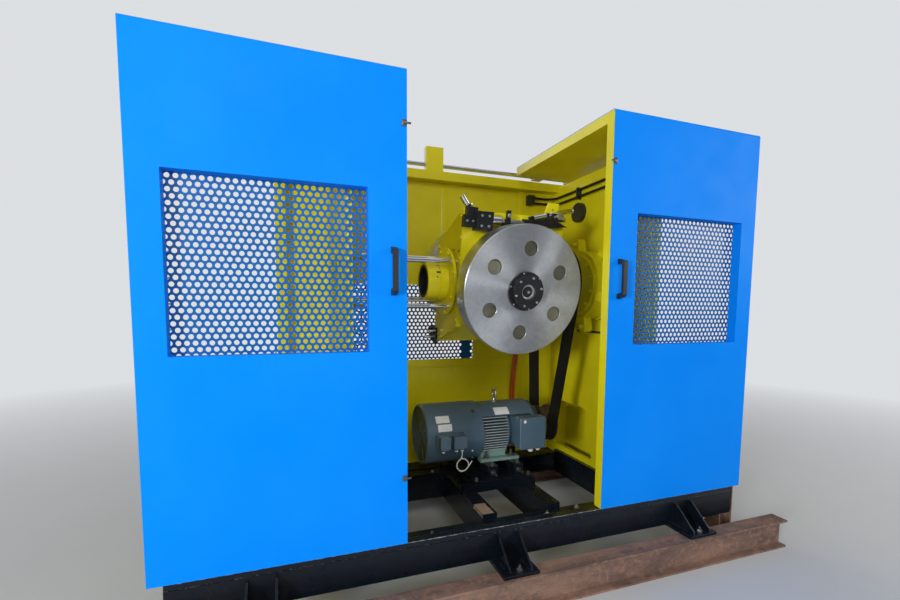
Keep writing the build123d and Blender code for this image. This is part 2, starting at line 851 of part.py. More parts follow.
with BuildPart() as cage_ring:
    with BuildSketch(head_section(cage_ring_x)):
        Circle(cage_ring_radius)
        Circle(cable_bore, mode=Mode.SUBTRACT)
        with GridLocations(2 * cage_rod_side, 2 * cage_rod_rise, 2, 2):
            Circle(cage_rod_radius, mode=Mode.SUBTRACT)
    extrude(amount=cage_ring_thickness)
save(cage_ring, "cage_ring")

# Tape pads on both sides of the head: holed drum on the spindle, holed cover disc and black hub
pad_inner_face = pad_outer_face - pad_depth


def pad_hole_pattern():
    """The ring of holes that a pad's cover and its back wall share."""
    with BuildSketch() as pattern:
        with PolarLocations(pad_hole_circle, pad_holes, start_angle=pad_hole_phase):
            Circle(pad_hole_radius)
    return pattern.sketch


for side, front in (("front", True), ("rear", False)):
    outwards = Axis((0, axis_y, axis_z), head_axis_dir * (-1.0 if front else 1.0))
    with BuildPart() as pad_drum:
        with BuildSketch(head_side(pad_x, pad_inner_face, 0.0, front)):
            Circle(pad_radius)
        extrude(amount=pad_depth - pad_disc)
        with BuildSketch(head_side(pad_x, pad_inner_face + pad_wall, 0.0, front)):
            Circle(pad_radius - pad_wall)
            Circle(hub_radius, mode=Mode.SUBTRACT)
        extrude(amount=pad_depth, mode=Mode.SUBTRACT)
        with BuildSketch(head_side(pad_x, pad_inner_face, 0.0, front)):
            Circle(spindle_radius + spindle_fit)
            add(pad_hole_pattern())
        extrude(amount=pad_depth, mode=Mode.SUBTRACT)
    save(pad_drum, f"{side}_pad_drum")

    with BuildPart() as pad_cover:
        with BuildSketch(head_side(pad_x, pad_outer_face - pad_disc, 0.0, front)):
            Circle(pad_radius)
        extrude(amount=pad_disc)
        chamfer(pad_cover.faces().sort_by(outwards)[-1].edges(), pad_edge)
        with BuildSketch(head_side(pad_x, pad_outer_face - pad_disc, 0.0, front)):
            add(pad_hole_pattern())
        extrude(amount=pad_disc, mode=Mode.SUBTRACT)
    save(pad_cover, f"{side}_pad_cover")

    hub_top = pad_outer_face + hub_flange + hub_rise
    with BuildPart() as pad_hub:
        with BuildSketch(head_side(pad_x, pad_outer_face, 0.0, front)):
            Circle(hub_radius)
        extrude(amount=hub_flange)
        with BuildSketch(head_side(pad_x, pad_outer_face + hub_flange, 0.0, front)):
            Circle(hub_drum_radius)
        extrude(amount=hub_rise)
        with BuildSketch(head_side(pad_x, hub_top - hub_recess_depth, 0.0, front)):
            Circle(hub_recess_radius)
            Circle(hub_boss_radius, mode=Mode.SUBTRACT)
        extrude(amount=hub_recess_depth, mode=Mode.SUBTRACT)
    save(pad_hub, f"{side}_pad_hub")


# Tape guide gear: blocks, a stepped bar and an arm over the front pad, and a bracket low at the rear
def head_block(left, right, low, high, near, far):
    """Adds a block in the head's own frame, between two reaches from the cable axis."""
    with BuildSketch(head_side(0.0, near)) as outline:
        with Locations(((left + right) / 2, (low + high) / 2)):
            Rectangle(right - left, high - low)
    extrude(outline.sketch, amount=far - near)


gear_block_right = gear_block_left + gear_block_length
thick_bar_right = gear_block_right + gear_thick_bar
thin_bar_right = thick_bar_right + gear_thin_bar
collar_right = thin_bar_right + gear_collar_length
gear_half_arm = gear_arm_thickness / 2
arm_start = head_side(collar_right, gear_bar_reach - gear_half_arm, gear_arm_rise)
arm_plane = Plane(arm_start * Rot(Z=gear_arm_slope))
tip_plane = Plane(head_side(tip_roller_x, head_half_width, tip_roller_rise) * Rot(Z=tip_roller_turn))
short_end = gear_lug + short_roller
long_start = short_end + gear_lug
lug_top = gear_roller_radius + gear_lug_margin
with BuildPart() as upper_guide_gear:
    head_block(gear_block_left, gear_block_right, gear_block_bottom, gear_block_top,
               head_half_width, head_half_width + gear_block_depth)
    head_block(gear_block_left - gear_slide_length, gear_block_left, gear_slide_bottom, gear_slide_top,
               head_half_width, head_half_width + gear_slide_depth)
    head_block(gear_clamp_left, gear_clamp_left + gear_clamp_length, gear_slide_top, gear_clamp_top,
               head_half_width, head_half_width + gear_slide_depth)
    head_block(gear_support_x - gear_support_width / 2, gear_support_x + gear_support_width / 2,
               gear_support_bottom, gear_bar_rise, head_half_width, gear_bar_reach + gear_thin_bar_radius)
    head_block(gear_support_x, gear_support_x + gear_eye_width, gear_bar_rise, gear_eye_top,
               gear_bar_reach - gear_half_arm, gear_bar_reach + gear_half_arm)
    for bar_left, bar_right, bar_radius in (
            (gear_block_right, thick_bar_right, gear_bar_radius),
            (thick_bar_right, thin_bar_right, gear_thin_bar_radius),
            (thin_bar_right, collar_right, gear_collar_radius)):
        with BuildSketch(head_section(bar_left)):
            with Locations((-gear_bar_reach, gear_bar_rise)):
                Circle(bar_radius)
        extrude(amount=bar_right - bar_left)
    with BuildSketch(arm_plane):
        with BuildLine():
            arm_left = -gear_half_arm
            tip_x = long_start + gear_arm_reach
            Polyline((arm_left, -gear_arm_drop), (arm_left, lug_top), (gear_lug, lug_top),
                     (gear_lug, -gear_arm_shoulder), (short_end, -gear_arm_shoulder), (short_end, lug_top),
                     (long_start, lug_top), (long_start, -gear_arm_shoulder), (tip_x, -gear_arm_tip_drop),
                     (long_start + gear_lug, -gear_arm_tip_drop + gear_cheek), close=True)
        make_face()
    extrude(amount=gear_arm_thickness)
    with BuildSketch(arm_plane.offset(gear_arm_thickness)):
        with BuildLine():
            Polyline((long_start, -gear_arm_shoulder), (long_start + gear_lug, lug_top - gear_cheek),
                     (long_start + gear_arm_reach / 2, 0.0), (tip_x - gear_cheek, -gear_arm_tip_drop * 2 / 3),
                     (long_start + 2 * gear_lug, -gear_arm_tip_drop / 2), close=True)
        make_face()
    extrude(amount=gear_cheek)
    with BuildSketch(tip_plane):
        Rectangle(2 * gear_lug, 2 * lug_top)
    extrude(amount=gear_arm_thickness)
save(upper_guide_gear, "upper_guide_gear")

lower_bracket_middle = (lower_bracket_front + lower_bracket_width / 2,
                        -lower_bracket_drop - lower_bracket_height / 2)
lower_bracket_face = head_left - lower_bracket_plate
with BuildPart() as lower_guide_gear:
    with BuildSketch(head_section(lower_bracket_face)):
        with Locations(lower_bracket_middle):
            Rectangle(lower_bracket_width, lower_bracket_height)
    extrude(amount=lower_bracket_plate)
    with BuildSketch(head_section(lower_bracket_face)):
        with Locations(lower_bracket_middle):
            with Locations((gear_bar_radius, gear_bar_radius)):
                Rectangle(gear_bar_radius, gear_bar_radius)
    extrude(amount=-gear_bar_radius)
save(lower_guide_gear, "lower_guide_gear")


def guide_roller(base, start, length):
    """Adds a roller that starts on a lug's face and runs along the base plane's own x."""
    origin = base.from_local_coords(Vector(start, 0, gear_half_arm))
    with BuildSketch(Plane(origin=origin, z_dir=base.x_dir)) as outline:
        Circle(gear_roller_radius)
    extrude(outline.sketch, amount=length)


with BuildPart() as guide_rollers:
    guide_roller(arm_plane, gear_lug, short_roller)
    guide_roller(arm_plane, long_start, long_roller)
    guide_roller(tip_plane, gear_lug, tip_roller_length)
    with BuildSketch(head_section(lower_bracket_face)):
        with Locations(lower_bracket_middle):
            with Locations((-gear_bar_radius, gear_bar_radius), (gear_bar_radius, -gear_bar_radius)):
                Circle(gear_roller_radius)
    extrude(amount=-lower_roller_length)
save(guide_rollers, "guide_rollers")

# Drive: head pulley, motor pulley and belt in one plane across the machine
pulley_left = pulley_x - pulley_width / 2
pulley_rim_inner = pulley_radius - pulley_rim
with BuildPart() as head_pulley:
    with BuildSketch(head_section(pulley_left)):
        Circle(pulley_radius)
        Circle(shaft_radius, mode=Mode.SUBTRACT)
    extrude(amount=pulley_width)
    for dish_left in (pulley_left, pulley_x + pulley_web / 2):
        with BuildSketch(head_section(dish_left)):
            Circle(pulley_rim_inner)
            Circle(pulley_hub_radius, mode=Mode.SUBTRACT)
        extrude(amount=(pulley_width - pulley_web) / 2, mode=Mode.SUBTRACT)
    with BuildSketch(head_section(pulley_left)):
        with PolarLocations((pulley_rim_inner + pulley_hub_radius) / 2, pulley_web_holes):
            Circle(pulley_web_hole)
    extrude(amount=pulley_width, mode=Mode.SUBTRACT)
save(head_pulley, "head_pulley")

cowl_right = cowl_left + cowl_length
frame_right = cowl_right + frame_length
bell_right = frame_right + bell_length
motor_pulley_left = pulley_left - motor_pulley_flange_thickness
motor_pulley_right = pulley_left + pulley_width
with BuildPart() as motor_pulley:
    for step_left, step_radius, step_length in (
            (pulley_left, motor_pulley_radius, pulley_width),
            (motor_pulley_left, motor_pulley_flange, motor_pulley_flange_thickness),
            (motor_pulley_right, motor_pulley_flange, motor_pulley_flange_thickness)):
        with BuildSketch(section(step_left, motor_y, motor_z)):
            Circle(step_radius)
        extrude(amount=step_length)
    with BuildSketch(section(motor_pulley_left, motor_y, motor_z)):
        Circle(motor_pulley_radius - motor_pulley_dish)
        Circle(2 * motor_shaft_radius, mode=Mode.SUBTRACT)
    extrude(amount=motor_pulley_dish, mode=Mode.SUBTRACT)
    with BuildSketch(section(frame_right, motor_y, motor_z)):
        Circle(motor_shaft_radius)
    extrude(amount=motor_pulley_right + 2 * motor_pulley_flange_thickness - frame_right)
save(motor_pulley, "motor_pulley")

with BuildPart() as drive_belt:
    for grow, mode in ((belt_thickness, Mode.ADD), (0.0, Mode.SUBTRACT)):
        with BuildSketch(section(pulley_x - belt_width / 2)):
            with Locations((axis_y, axis_z)):
                Circle(pulley_radius + running_gap + grow)
            with Locations((motor_y, motor_z)):
                Circle(motor_pulley_radius + running_gap + grow)
            make_hull()
        extrude(amount=belt_width, mode=mode)
save(drive_belt, "drive_belt")

# Motor: blower cowl, finned frame with a smooth top, ribbed end bell, feet, and the slide rails under it
with BuildPart() as motor_cowl:
    with BuildSketch(section(cowl_left, motor_y, motor_z)):
        Circle(cowl_radius)
    extrude(amount=cowl_length)
    chamfer(motor_cowl.faces().sort_by(Axis.X)[0].edges(), cowl_edge)
    with BuildSketch(section(cowl_left, motor_y, motor_z)):
        Circle(cowl_radius - cowl_wall)
    extrude(amount=cowl_recess, mode=Mode.SUBTRACT)
save(motor_cowl, "motor_cowl")

half_rows = (fin_rows - 1) / 2
cap_rise = (half_rows + 0.5) * fin_pitch
with BuildPart() as motor_frame:
    with BuildSketch(section(cowl_right, motor_y, motor_z)):
        Circle(fin_reach)
        with Locations((0, (cap_rise - fin_reach) / 2)):
            Rectangle(2 * fin_reach, cap_rise + fin_reach, mode=Mode.SUBTRACT)
        Circle(frame_radius)
    extrude(amount=frame_length)
    for fin_way, length in ((-1, fin_length), (1, frame_length)):
        with BuildSketch(section(cowl_right, motor_y, motor_z)):
            for row in range(fin_rows):
                rise = (row - half_rows) * fin_pitch
                chord = sqrt(fin_reach ** 2 - rise ** 2)
                with Locations((fin_way * chord / 2, rise)):
                    Rectangle(chord, fin_thickness)
        extrude(amount=length)
    for ring_left, ring_radius, ring_length in (
            (cowl_right + fin_length, fin_ring_radius, fin_ring),
            (frame_right - frame_flange, bell_radius, frame_flange)):
        with BuildSketch(section(ring_left, motor_y, motor_z)):
            Circle(ring_radius)
        extrude(amount=ring_length)
save(motor_frame, "motor_frame")

motor_side = Plane(origin=(0, motor_y, motor_z), x_dir=(1, 0, 0), z_dir=(0, -1, 0))
motor_axis = Axis((0, motor_y, motor_z), (1, 0, 0))
with BuildPart() as motor_bell:
    with BuildSketch(motor_side):
        with BuildLine():
            bell_bore = motor_shaft_radius + spindle_fit
            Polyline((frame_right, bell_bore), (frame_right, bell_radius),
                     (frame_right + bell_rim, bell_radius), (bell_right, bell_nose_radius),
                     (bell_right, bell_bore), close=True)
        make_face()
    revolve(axis=motor_axis)
    for rib in range(bell_ribs):
        with BuildSketch(motor_side.rotated((rib * 360.0 / bell_ribs, 0, 0))):
            with BuildLine():
                Polyline((frame_right + bell_rim / 2, bell_radius - bell_rim),
                         (frame_right + bell_rim / 2, bell_radius),
                         (frame_right + bell_length / 2, bell_radius - bell_rib_reach / 2),
                         (bell_right, bell_nose_radius + bell_rib_reach),
                         (bell_right, bell_nose_radius - bell_rim), close=True)
            make_face()
        extrude(amount=bell_rib / 2, both=True)
save(motor_bell, "motor_bell")

foot_bottom = motor_z - shaft_height
foot_top = foot_bottom + foot_thickness
lowest_fin = motor_z - half_rows * fin_pitch - fin_thickness / 2
with BuildPart() as motor_feet:
    for end in (-1, 1):
        foot_outer = motor_y + end * shaft_height
        foot_inner = foot_outer - end * foot_width
        foot_span = sorted((foot_outer, foot_inner))
        web_span = sorted((foot_inner + end * foot_web, foot_inner))
        block((foot_left, foot_span[0], foot_bottom), (foot_left + foot_length, foot_span[1], foot_top))
        block((foot_left + foot_web_inset, web_span[0], foot_top),
              (cowl_right + fin_length, web_span[1], lowest_fin))
save(motor_feet, "motor_feet")

rail_floor = cross_top + packing_height + motor_plate
with BuildPart() as motor_base:
    block((motor_plate_left, motor_y - motor_plate_half_width, cross_top + packing_height),
          (motor_plate_left + motor_plate_length, motor_y + motor_plate_half_width, rail_floor))
    slide_inset = slide_rail_inset + slide_rail_width
    for rail_left in (foot_left + slide_rail_inset, foot_left + foot_length - slide_inset):
        block((rail_left, motor_y - slide_rail_half_length, rail_floor),
              (rail_left + slide_rail_width, motor_y + slide_rail_half_length, foot_bottom))
    packing_left = short_cross_x - cross_width / 2
    packing_right = motor_cross_x + cross_width / 2
    rear_packing_y = long_beam_front + (cross_width - packing_width) / 2
    for packing_y in (motor_y - motor_plate_half_width, rear_packing_y):
        block((packing_left, packing_y, cross_top),
              (packing_right, packing_y + packing_width, cross_top + packing_height))
save(motor_base, "motor_base")

neck_back = terminal_front + terminal_depth
with BuildPart() as terminal_box:
    with BuildSketch(Plane.XZ.offset(-terminal_front)):
        with Locations((terminal_left + terminal_length / 2, terminal_bottom + terminal_height / 2)):
            RectangleRounded(terminal_length, terminal_height, terminal_corner)
    extrude(amount=-terminal_depth)
    chamfer(terminal_box.faces().sort_by(Axis.Y)[0].edges(), terminal_edge)
    neck_left = terminal_left + terminal_neck_inset
    block((neck_left, neck_back, terminal_bottom + terminal_neck_margin),
          (neck_left + terminal_neck_length, motor_y,
           terminal_bottom + terminal_height - terminal_neck_margin))
    with BuildSketch(section(neck_left, motor_y, motor_z)):
        Circle(frame_radius)
    extrude(amount=terminal_neck_length, mode=Mode.SUBTRACT)
save(terminal_box, "terminal_box")

# Two small junction boxes with glands, on a tray on the cowl's front
box_back = box_front + box_depth
large_box_right = large_box_left + large_box_length
with BuildPart() as junction_boxes:
    for box_left, box_length, box_height, box_setback in (
            (small_box_left, small_box_length, small_box_height, 0.0),
            (large_box_left, large_box_length, large_box_height, large_box_setback)):
        with BuildSketch(Plane.XZ.offset(-box_front - box_setback)):
            with Locations((box_left + box_length / 2, box_tops - box_height / 2)):
                RectangleRounded(box_length, box_height, box_corner)
        extrude(amount=box_setback - box_depth)
    chamfer(junction_boxes.faces().filter_by(Axis.Y).sort_by(Axis.Y)[:2].edges(), box_edge)
    block((small_box_left - box_tray_margin, box_back, box_tray_bottom),
          (large_box_right + box_tray_margin, box_back + box_tray_depth, box_tops + box_tray_margin))
    with BuildSketch(section(cowl_left, motor_y, motor_z)):
        Circle(cowl_radius)
    extrude(amount=cowl_length, mode=Mode.SUBTRACT)
    gland_y = box_back - box_depth / 2
    gland_places = [(small_box_left + small_box_gland, box_tops - small_box_height)]
    gland_places += [(large_box_left + place, box_tops - large_box_height) for place in large_box_glands]
    for gland_x, gland_top in gland_places:
        with BuildSketch(Plane.XY.offset(gland_top - gland_length)):
            with Locations((gland_x, gland_y)):
                Circle(gland_radius)
        extrude(amount=gland_length)
save(junction_boxes, "junction_boxes")


# Hoses and leads along the walls, the spare blower lead, and the fittings that hold them
def corner_radii(route):
    """For each corner of a route, the largest arc that its two runs have room for."""
    radii = []
    for before, corner, after in zip(route, route[1:], route[2:]):
        come = Vector(*corner) - Vector(*before)
        go = Vector(*after) - Vector(*corner)
        half_turn = radians(come.get_angle(go)) / 2
        radii.append(0.45 * min(come.length, go.length) / tan(half_turn))
    return radii


def tube_along(route, radius, radii):
    """Adds a round tube along straight runs that tangent arcs join."""
    with BuildLine() as path:
        FilletPolyline(*route, radius=radii)
    with BuildSketch(Plane(origin=route[0], z_dir=Vector(*route[1]) - Vector(*route[0]))) as outline:
        Circle(radius)
    sweep(outline.sketch, path=path.wires()[0])


hose_x = right_bulkhead_face - hose_standoff
hose_wall_y = wall_inner - hose_wall_gap
upper_hose = ((hose_x, hose_front, upper_hose_height), (hose_x, hose_wall_y, upper_hose_height),
              (hose_rear_end, hose_wall_y, upper_hose_height))
lower_end_height = lower_hose_height + hose_radius
lower_hose = ((hose_x, hose_front, lower_hose_height), (hose_x, hose_wall_y - hose_corner, lower_hose_height),
              (hose_x - hose_corner * 2 / 3, hose_wall_y, lower_end_height),
              (hose_rear_end, hose_wall_y, lower_end_height))
with BuildPart() as wall_hoses:
    tube_along(upper_hose, hose_radius, [hose_corner])
    tube_along(lower_hose, hose_radius, [hose_corner * 3 / 4, hose_corner / 2])
save(wall_hoses, "wall_hoses")

orange_route = ((567.0, 514.0, orange_top), (567.0, 514.0, 1020.0), (545.0, 512.0, orange_bend_rise),
                (541.0, 514.0, 560.0), (541.0, 514.0, rail_top + fitting_size))
with BuildPart() as orange_leads:
    for shift in (-orange_spacing / 2, orange_spacing / 2):
        route = [(x + shift, y, z) for x, y, z in orange_route]
        tube_along(route, orange_radius, corner_radii(route))
save(orange_leads, "orange_leads")

lead_y = gland_y
lead_down = ((-93.0, lead_y, box_tops - large_box_height - gland_length), (-93.0, lead_y, 556.0),
             (-97.5, lead_y, 533.6), (-110.6, lead_y, 524.5))
lead_end = ((-62.4, lead_y, 471.9), (-47.0, lead_y, 490.2), (-33.0, lead_y, 512.0))
with BuildPart() as blower_lead:
    for route in (lead_down, lead_end):
        radii = corner_radii(route)
        tube_along(route, lead_radius, radii)
save(blower_lead, "blower_lead")

coil_x, coil_z = lead_coil_middle
with BuildPart() as blower_lead_coil:
    with BuildSketch(Plane.XY.offset(coil_z)):
        with Locations((coil_x + lead_coil_radius, lead_y)):
            Circle(lead_coil_section)
    revolve(axis=Axis((coil_x, lead_y, coil_z), (0, 1, 0)))
save(blower_lead_coil, "blower_lead_coil")

with BuildPart() as wall_fittings:
    with BuildSketch(section(right_bulkhead_face - grommet_thickness, grommet_y, grommet_z)):
        Circle(grommet_radius)
    extrude(amount=grommet_thickness)
    clamp_left = hose_x - hose_radius - hose_clamp_width / 2
    clamp_margin = hose_radius + hose_clamp_width / 2
    block((clamp_left, hose_clamp_y - hose_clamp_width / 2, lower_hose_height - clamp_margin),
          (right_bulkhead_face, hose_clamp_y + hose_clamp_width / 2, upper_hose_height + clamp_margin))
    block((hose_x - fitting_size / 2, hose_front - fitting_size, lower_hose_height - clamp_margin),
          (right_bulkhead_face, hose_front, upper_hose_height + clamp_margin))
    block((hose_rear_end - fitting_size, hose_wall_y - hose_wall_gap, lower_end_height - clamp_margin),
          (hose_rear_end, wall_inner, upper_hose_height + clamp_margin))
    for lead_point, fitting_low in ((orange_route[0], orange_top), (orange_route[-1], rail_top)):
        block((lead_point[0] - fitting_size / 2, lead_point[1] - fitting_size / 2, fitting_low),
              (lead_point[0] + fitting_size / 2, wall_inner, fitting_low + fitting_size))
    for clamped in (upper_hose_height, lower_hose_height):
        with BuildSketch(Plane.XZ.offset(clamp_margin - hose_clamp_y)):
            with Locations((hose_x, clamped)):
                Circle(hose_radius)
        extrude(amount=-2 * clamp_margin, mode=Mode.SUBTRACT)
    with BuildSketch(Plane.XZ.offset(-latch_rod_front)):
        with Locations((latch_rod_x, latch_rod_height)):
            Circle(latch_rod_radius)
    extrude(amount=latch_rod_front - latch_rod_rear)
save(wall_fittings, "wall_fittings")
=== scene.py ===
import bmesh
import bpy
import json
from math import ceil, cos, pi, radians, sin, sqrt
from mathutils import Matrix, Vector


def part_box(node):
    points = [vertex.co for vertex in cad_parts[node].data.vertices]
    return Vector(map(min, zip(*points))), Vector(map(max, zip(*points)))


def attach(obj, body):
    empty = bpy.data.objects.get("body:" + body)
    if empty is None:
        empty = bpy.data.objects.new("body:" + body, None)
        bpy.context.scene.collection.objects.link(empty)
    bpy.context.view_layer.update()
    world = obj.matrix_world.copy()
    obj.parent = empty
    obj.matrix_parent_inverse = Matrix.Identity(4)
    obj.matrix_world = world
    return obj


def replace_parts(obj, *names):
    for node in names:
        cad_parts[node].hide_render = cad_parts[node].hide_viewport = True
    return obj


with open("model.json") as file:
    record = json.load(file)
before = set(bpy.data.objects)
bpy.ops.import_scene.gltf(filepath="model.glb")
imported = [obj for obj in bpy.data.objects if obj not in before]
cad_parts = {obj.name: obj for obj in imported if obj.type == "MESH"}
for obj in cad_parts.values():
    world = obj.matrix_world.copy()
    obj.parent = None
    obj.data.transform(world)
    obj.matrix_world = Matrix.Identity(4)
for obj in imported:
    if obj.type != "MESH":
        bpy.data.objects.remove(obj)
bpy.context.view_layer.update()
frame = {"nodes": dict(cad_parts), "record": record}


def turned(degrees, axis="X"):
    """A turn about an axis of the machine."""
    return Matrix.Rotation(radians(degrees), 4, axis)


def at(x, y, z, axis="Z"):
    """A frame at a point whose z runs along an axis of the machine, such as "-Y"."""
    turns = {"Z": (0.0, "X"), "-Z": (180.0, "X"), "X": (90.0, "Y"), "-X": (-90.0, "Y"), "Y": (-90.0, "X"),
             "-Y": (90.0, "X")}
    return Matrix.Translation((x, y, z)) @ turned(*turns[axis])


# Places that the pieces share: the cable runs along x, the doors face -y, and the head is turned by TILT
FLOOR = 0.0
AXIS_Y, AXIS_Z = 0.023, 1.5175
TILT = 9.2
HEAD = at(0.0, AXIS_Y, AXIS_Z) @ turned(TILT)
HEAD_OUT = Vector((0.0, cos(radians(TILT)), sin(radians(TILT))))
PAD_X, PAD_Y = 0.1505, 0.375
FRONT_PAD, REAR_PAD = (HEAD @ Vector((PAD_X, y, 0.0)) for y in (-PAD_Y, PAD_Y))
MOTOR_Y, MOTOR_Z = 0.108, 0.629
MOTOR_FOOT_XS = (0.094, 0.256)
FOOT_XS = (-1.109, -0.018, 1.073)
GLAND_Y = -0.116
TRACK_LOW, TRACK_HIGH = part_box("front_track")
BOX_LOW, BOX_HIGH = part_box("terminal_box")
JUNCTION_TOP = 0.663
# Left, right, front and bottom of the two small boxes on the blower
JUNCTIONS = ((-0.227, -0.169, -0.142, 0.593), (-0.147, -0.069, -0.134, 0.591))

# Hexagon bolts: width across the flats, height, the washer's radius and how far the shank's end stands out
WALL_BOLT = (0.016, 0.008, 0.013)
LUG_BOLT = (0.024, 0.013, 0.019, 0.006)
SMALL_BOLT = (0.013, 0.008, 0.011)
GEAR_STUD = (0.013, 0.008, 0.0, 0.012)
GEAR_NUT = (0.017, 0.011)
BELL_CAP_BOLT = (0.01, 0.006, 0.008)
COWL_BOLT = (0.013, 0.007, 0.011)
MOTOR_FOOT_BOLT = (0.024, 0.014, 0.018, 0.02)
MOTOR_PLATE_BOLT = (0.019, 0.011, 0.014, 0.008)
PUSH_BOLT = (0.022, 0.012, 0.016, 0.03)
SLIDE_RAIL_BOLT = (0.019, 0.012, 0.015, 0.006)
FOOT_BOLT = (0.024, 0.013, 0.018, 0.014)
LOOSE_BOLT = (0.019, 0.012, 0.015, 0.01)
SMALL_LOOSE_BOLT = (0.013, 0.008, 0.01)

# Socket screws: radius and height
COVER_SCREW = (0.0048, 0.004)
CATCH_SCREW = (0.0026, 0.002)
LID_SCREW = (0.0032, 0.0028)
HOUSING_SCREW = (0.009, 0.009)
PLATE_SCREW = (0.008, 0.008)
NOSE_SCREW = (0.0075, 0.0075)
BLOCK_SCREW = (0.0062, 0.006)
SMALL_SCREW = (0.006, 0.006)
HUB_SCREW = (0.0062, 0.0055)
HUB_RIM_SCREW = (0.0045, 0.004)

# Round heads: the foot's radius, the shoulder's radius and height, and the whole height
HOOD_RIVET = (0.0042, 0.0036, 0.0014, 0.002)
WINDOW_RIVET = (0.0034, 0.0026, 0.0013, 0.0018)
HUB_BUTTON = (0.008, 0.006, 0.003, 0.004)

# Noises: scale in 1/m, detail and roughness; then, for some, the stretch of the axes and the distortion
EVEN = (1.0, 1.0, 1.0)
PAINT_DRIFT = (2.2, 4.0, 0.6)
PAINT_SHEEN = (6.0, 5.0, 0.65)
PAINT_WAVES = (14.0, 2.0, 0.5)
PAINT_PEEL = (420.0, 2.0, 0.5)
PAINT_CHIPS = (60.0, 5.0, 0.7)
STAIN_RUNS = (5.0, 6.0, 0.62, (1.0, 1.0, 0.28), 0.4)
STAIN_SPOTS = (26.0, 4.0, 0.7)
SETTLED_DUST = (9.0, 6.0, 0.7)
DUST_FILM = (3.0, 6.0, 0.7)
METAL_CLOUD = (7.0, 5.0, 0.6)
METAL_SPOTS = (34.0, 6.0, 0.72)
LATHE_SMEARS = (9.0, 6.0, 0.7, EVEN, 0.6)
LATHE_FINE = (60.0, 4.0, 0.6)
LATHE_SPOTS = (38.0, 5.0, 0.75)
RUST_GRAIN = (230.0, 5.0, 0.7)
PLASTIC_DRIFT = (8.0, 4.0, 0.6)
PLASTIC_SHEEN = (20.0, 4.0, 0.6)
PLASTIC_DUST = (14.0, 6.0, 0.7)
PLASTIC_GRAIN = (900.0, 2.0, 0.5)
FLOOR_CLOUD = (0.6, 3.0, 0.5)

BACKDROP = (0.72, 0.74, 0.76, 1.0)
SOFT_BELOW = 35.0
LOOKS = {}


# Shader building

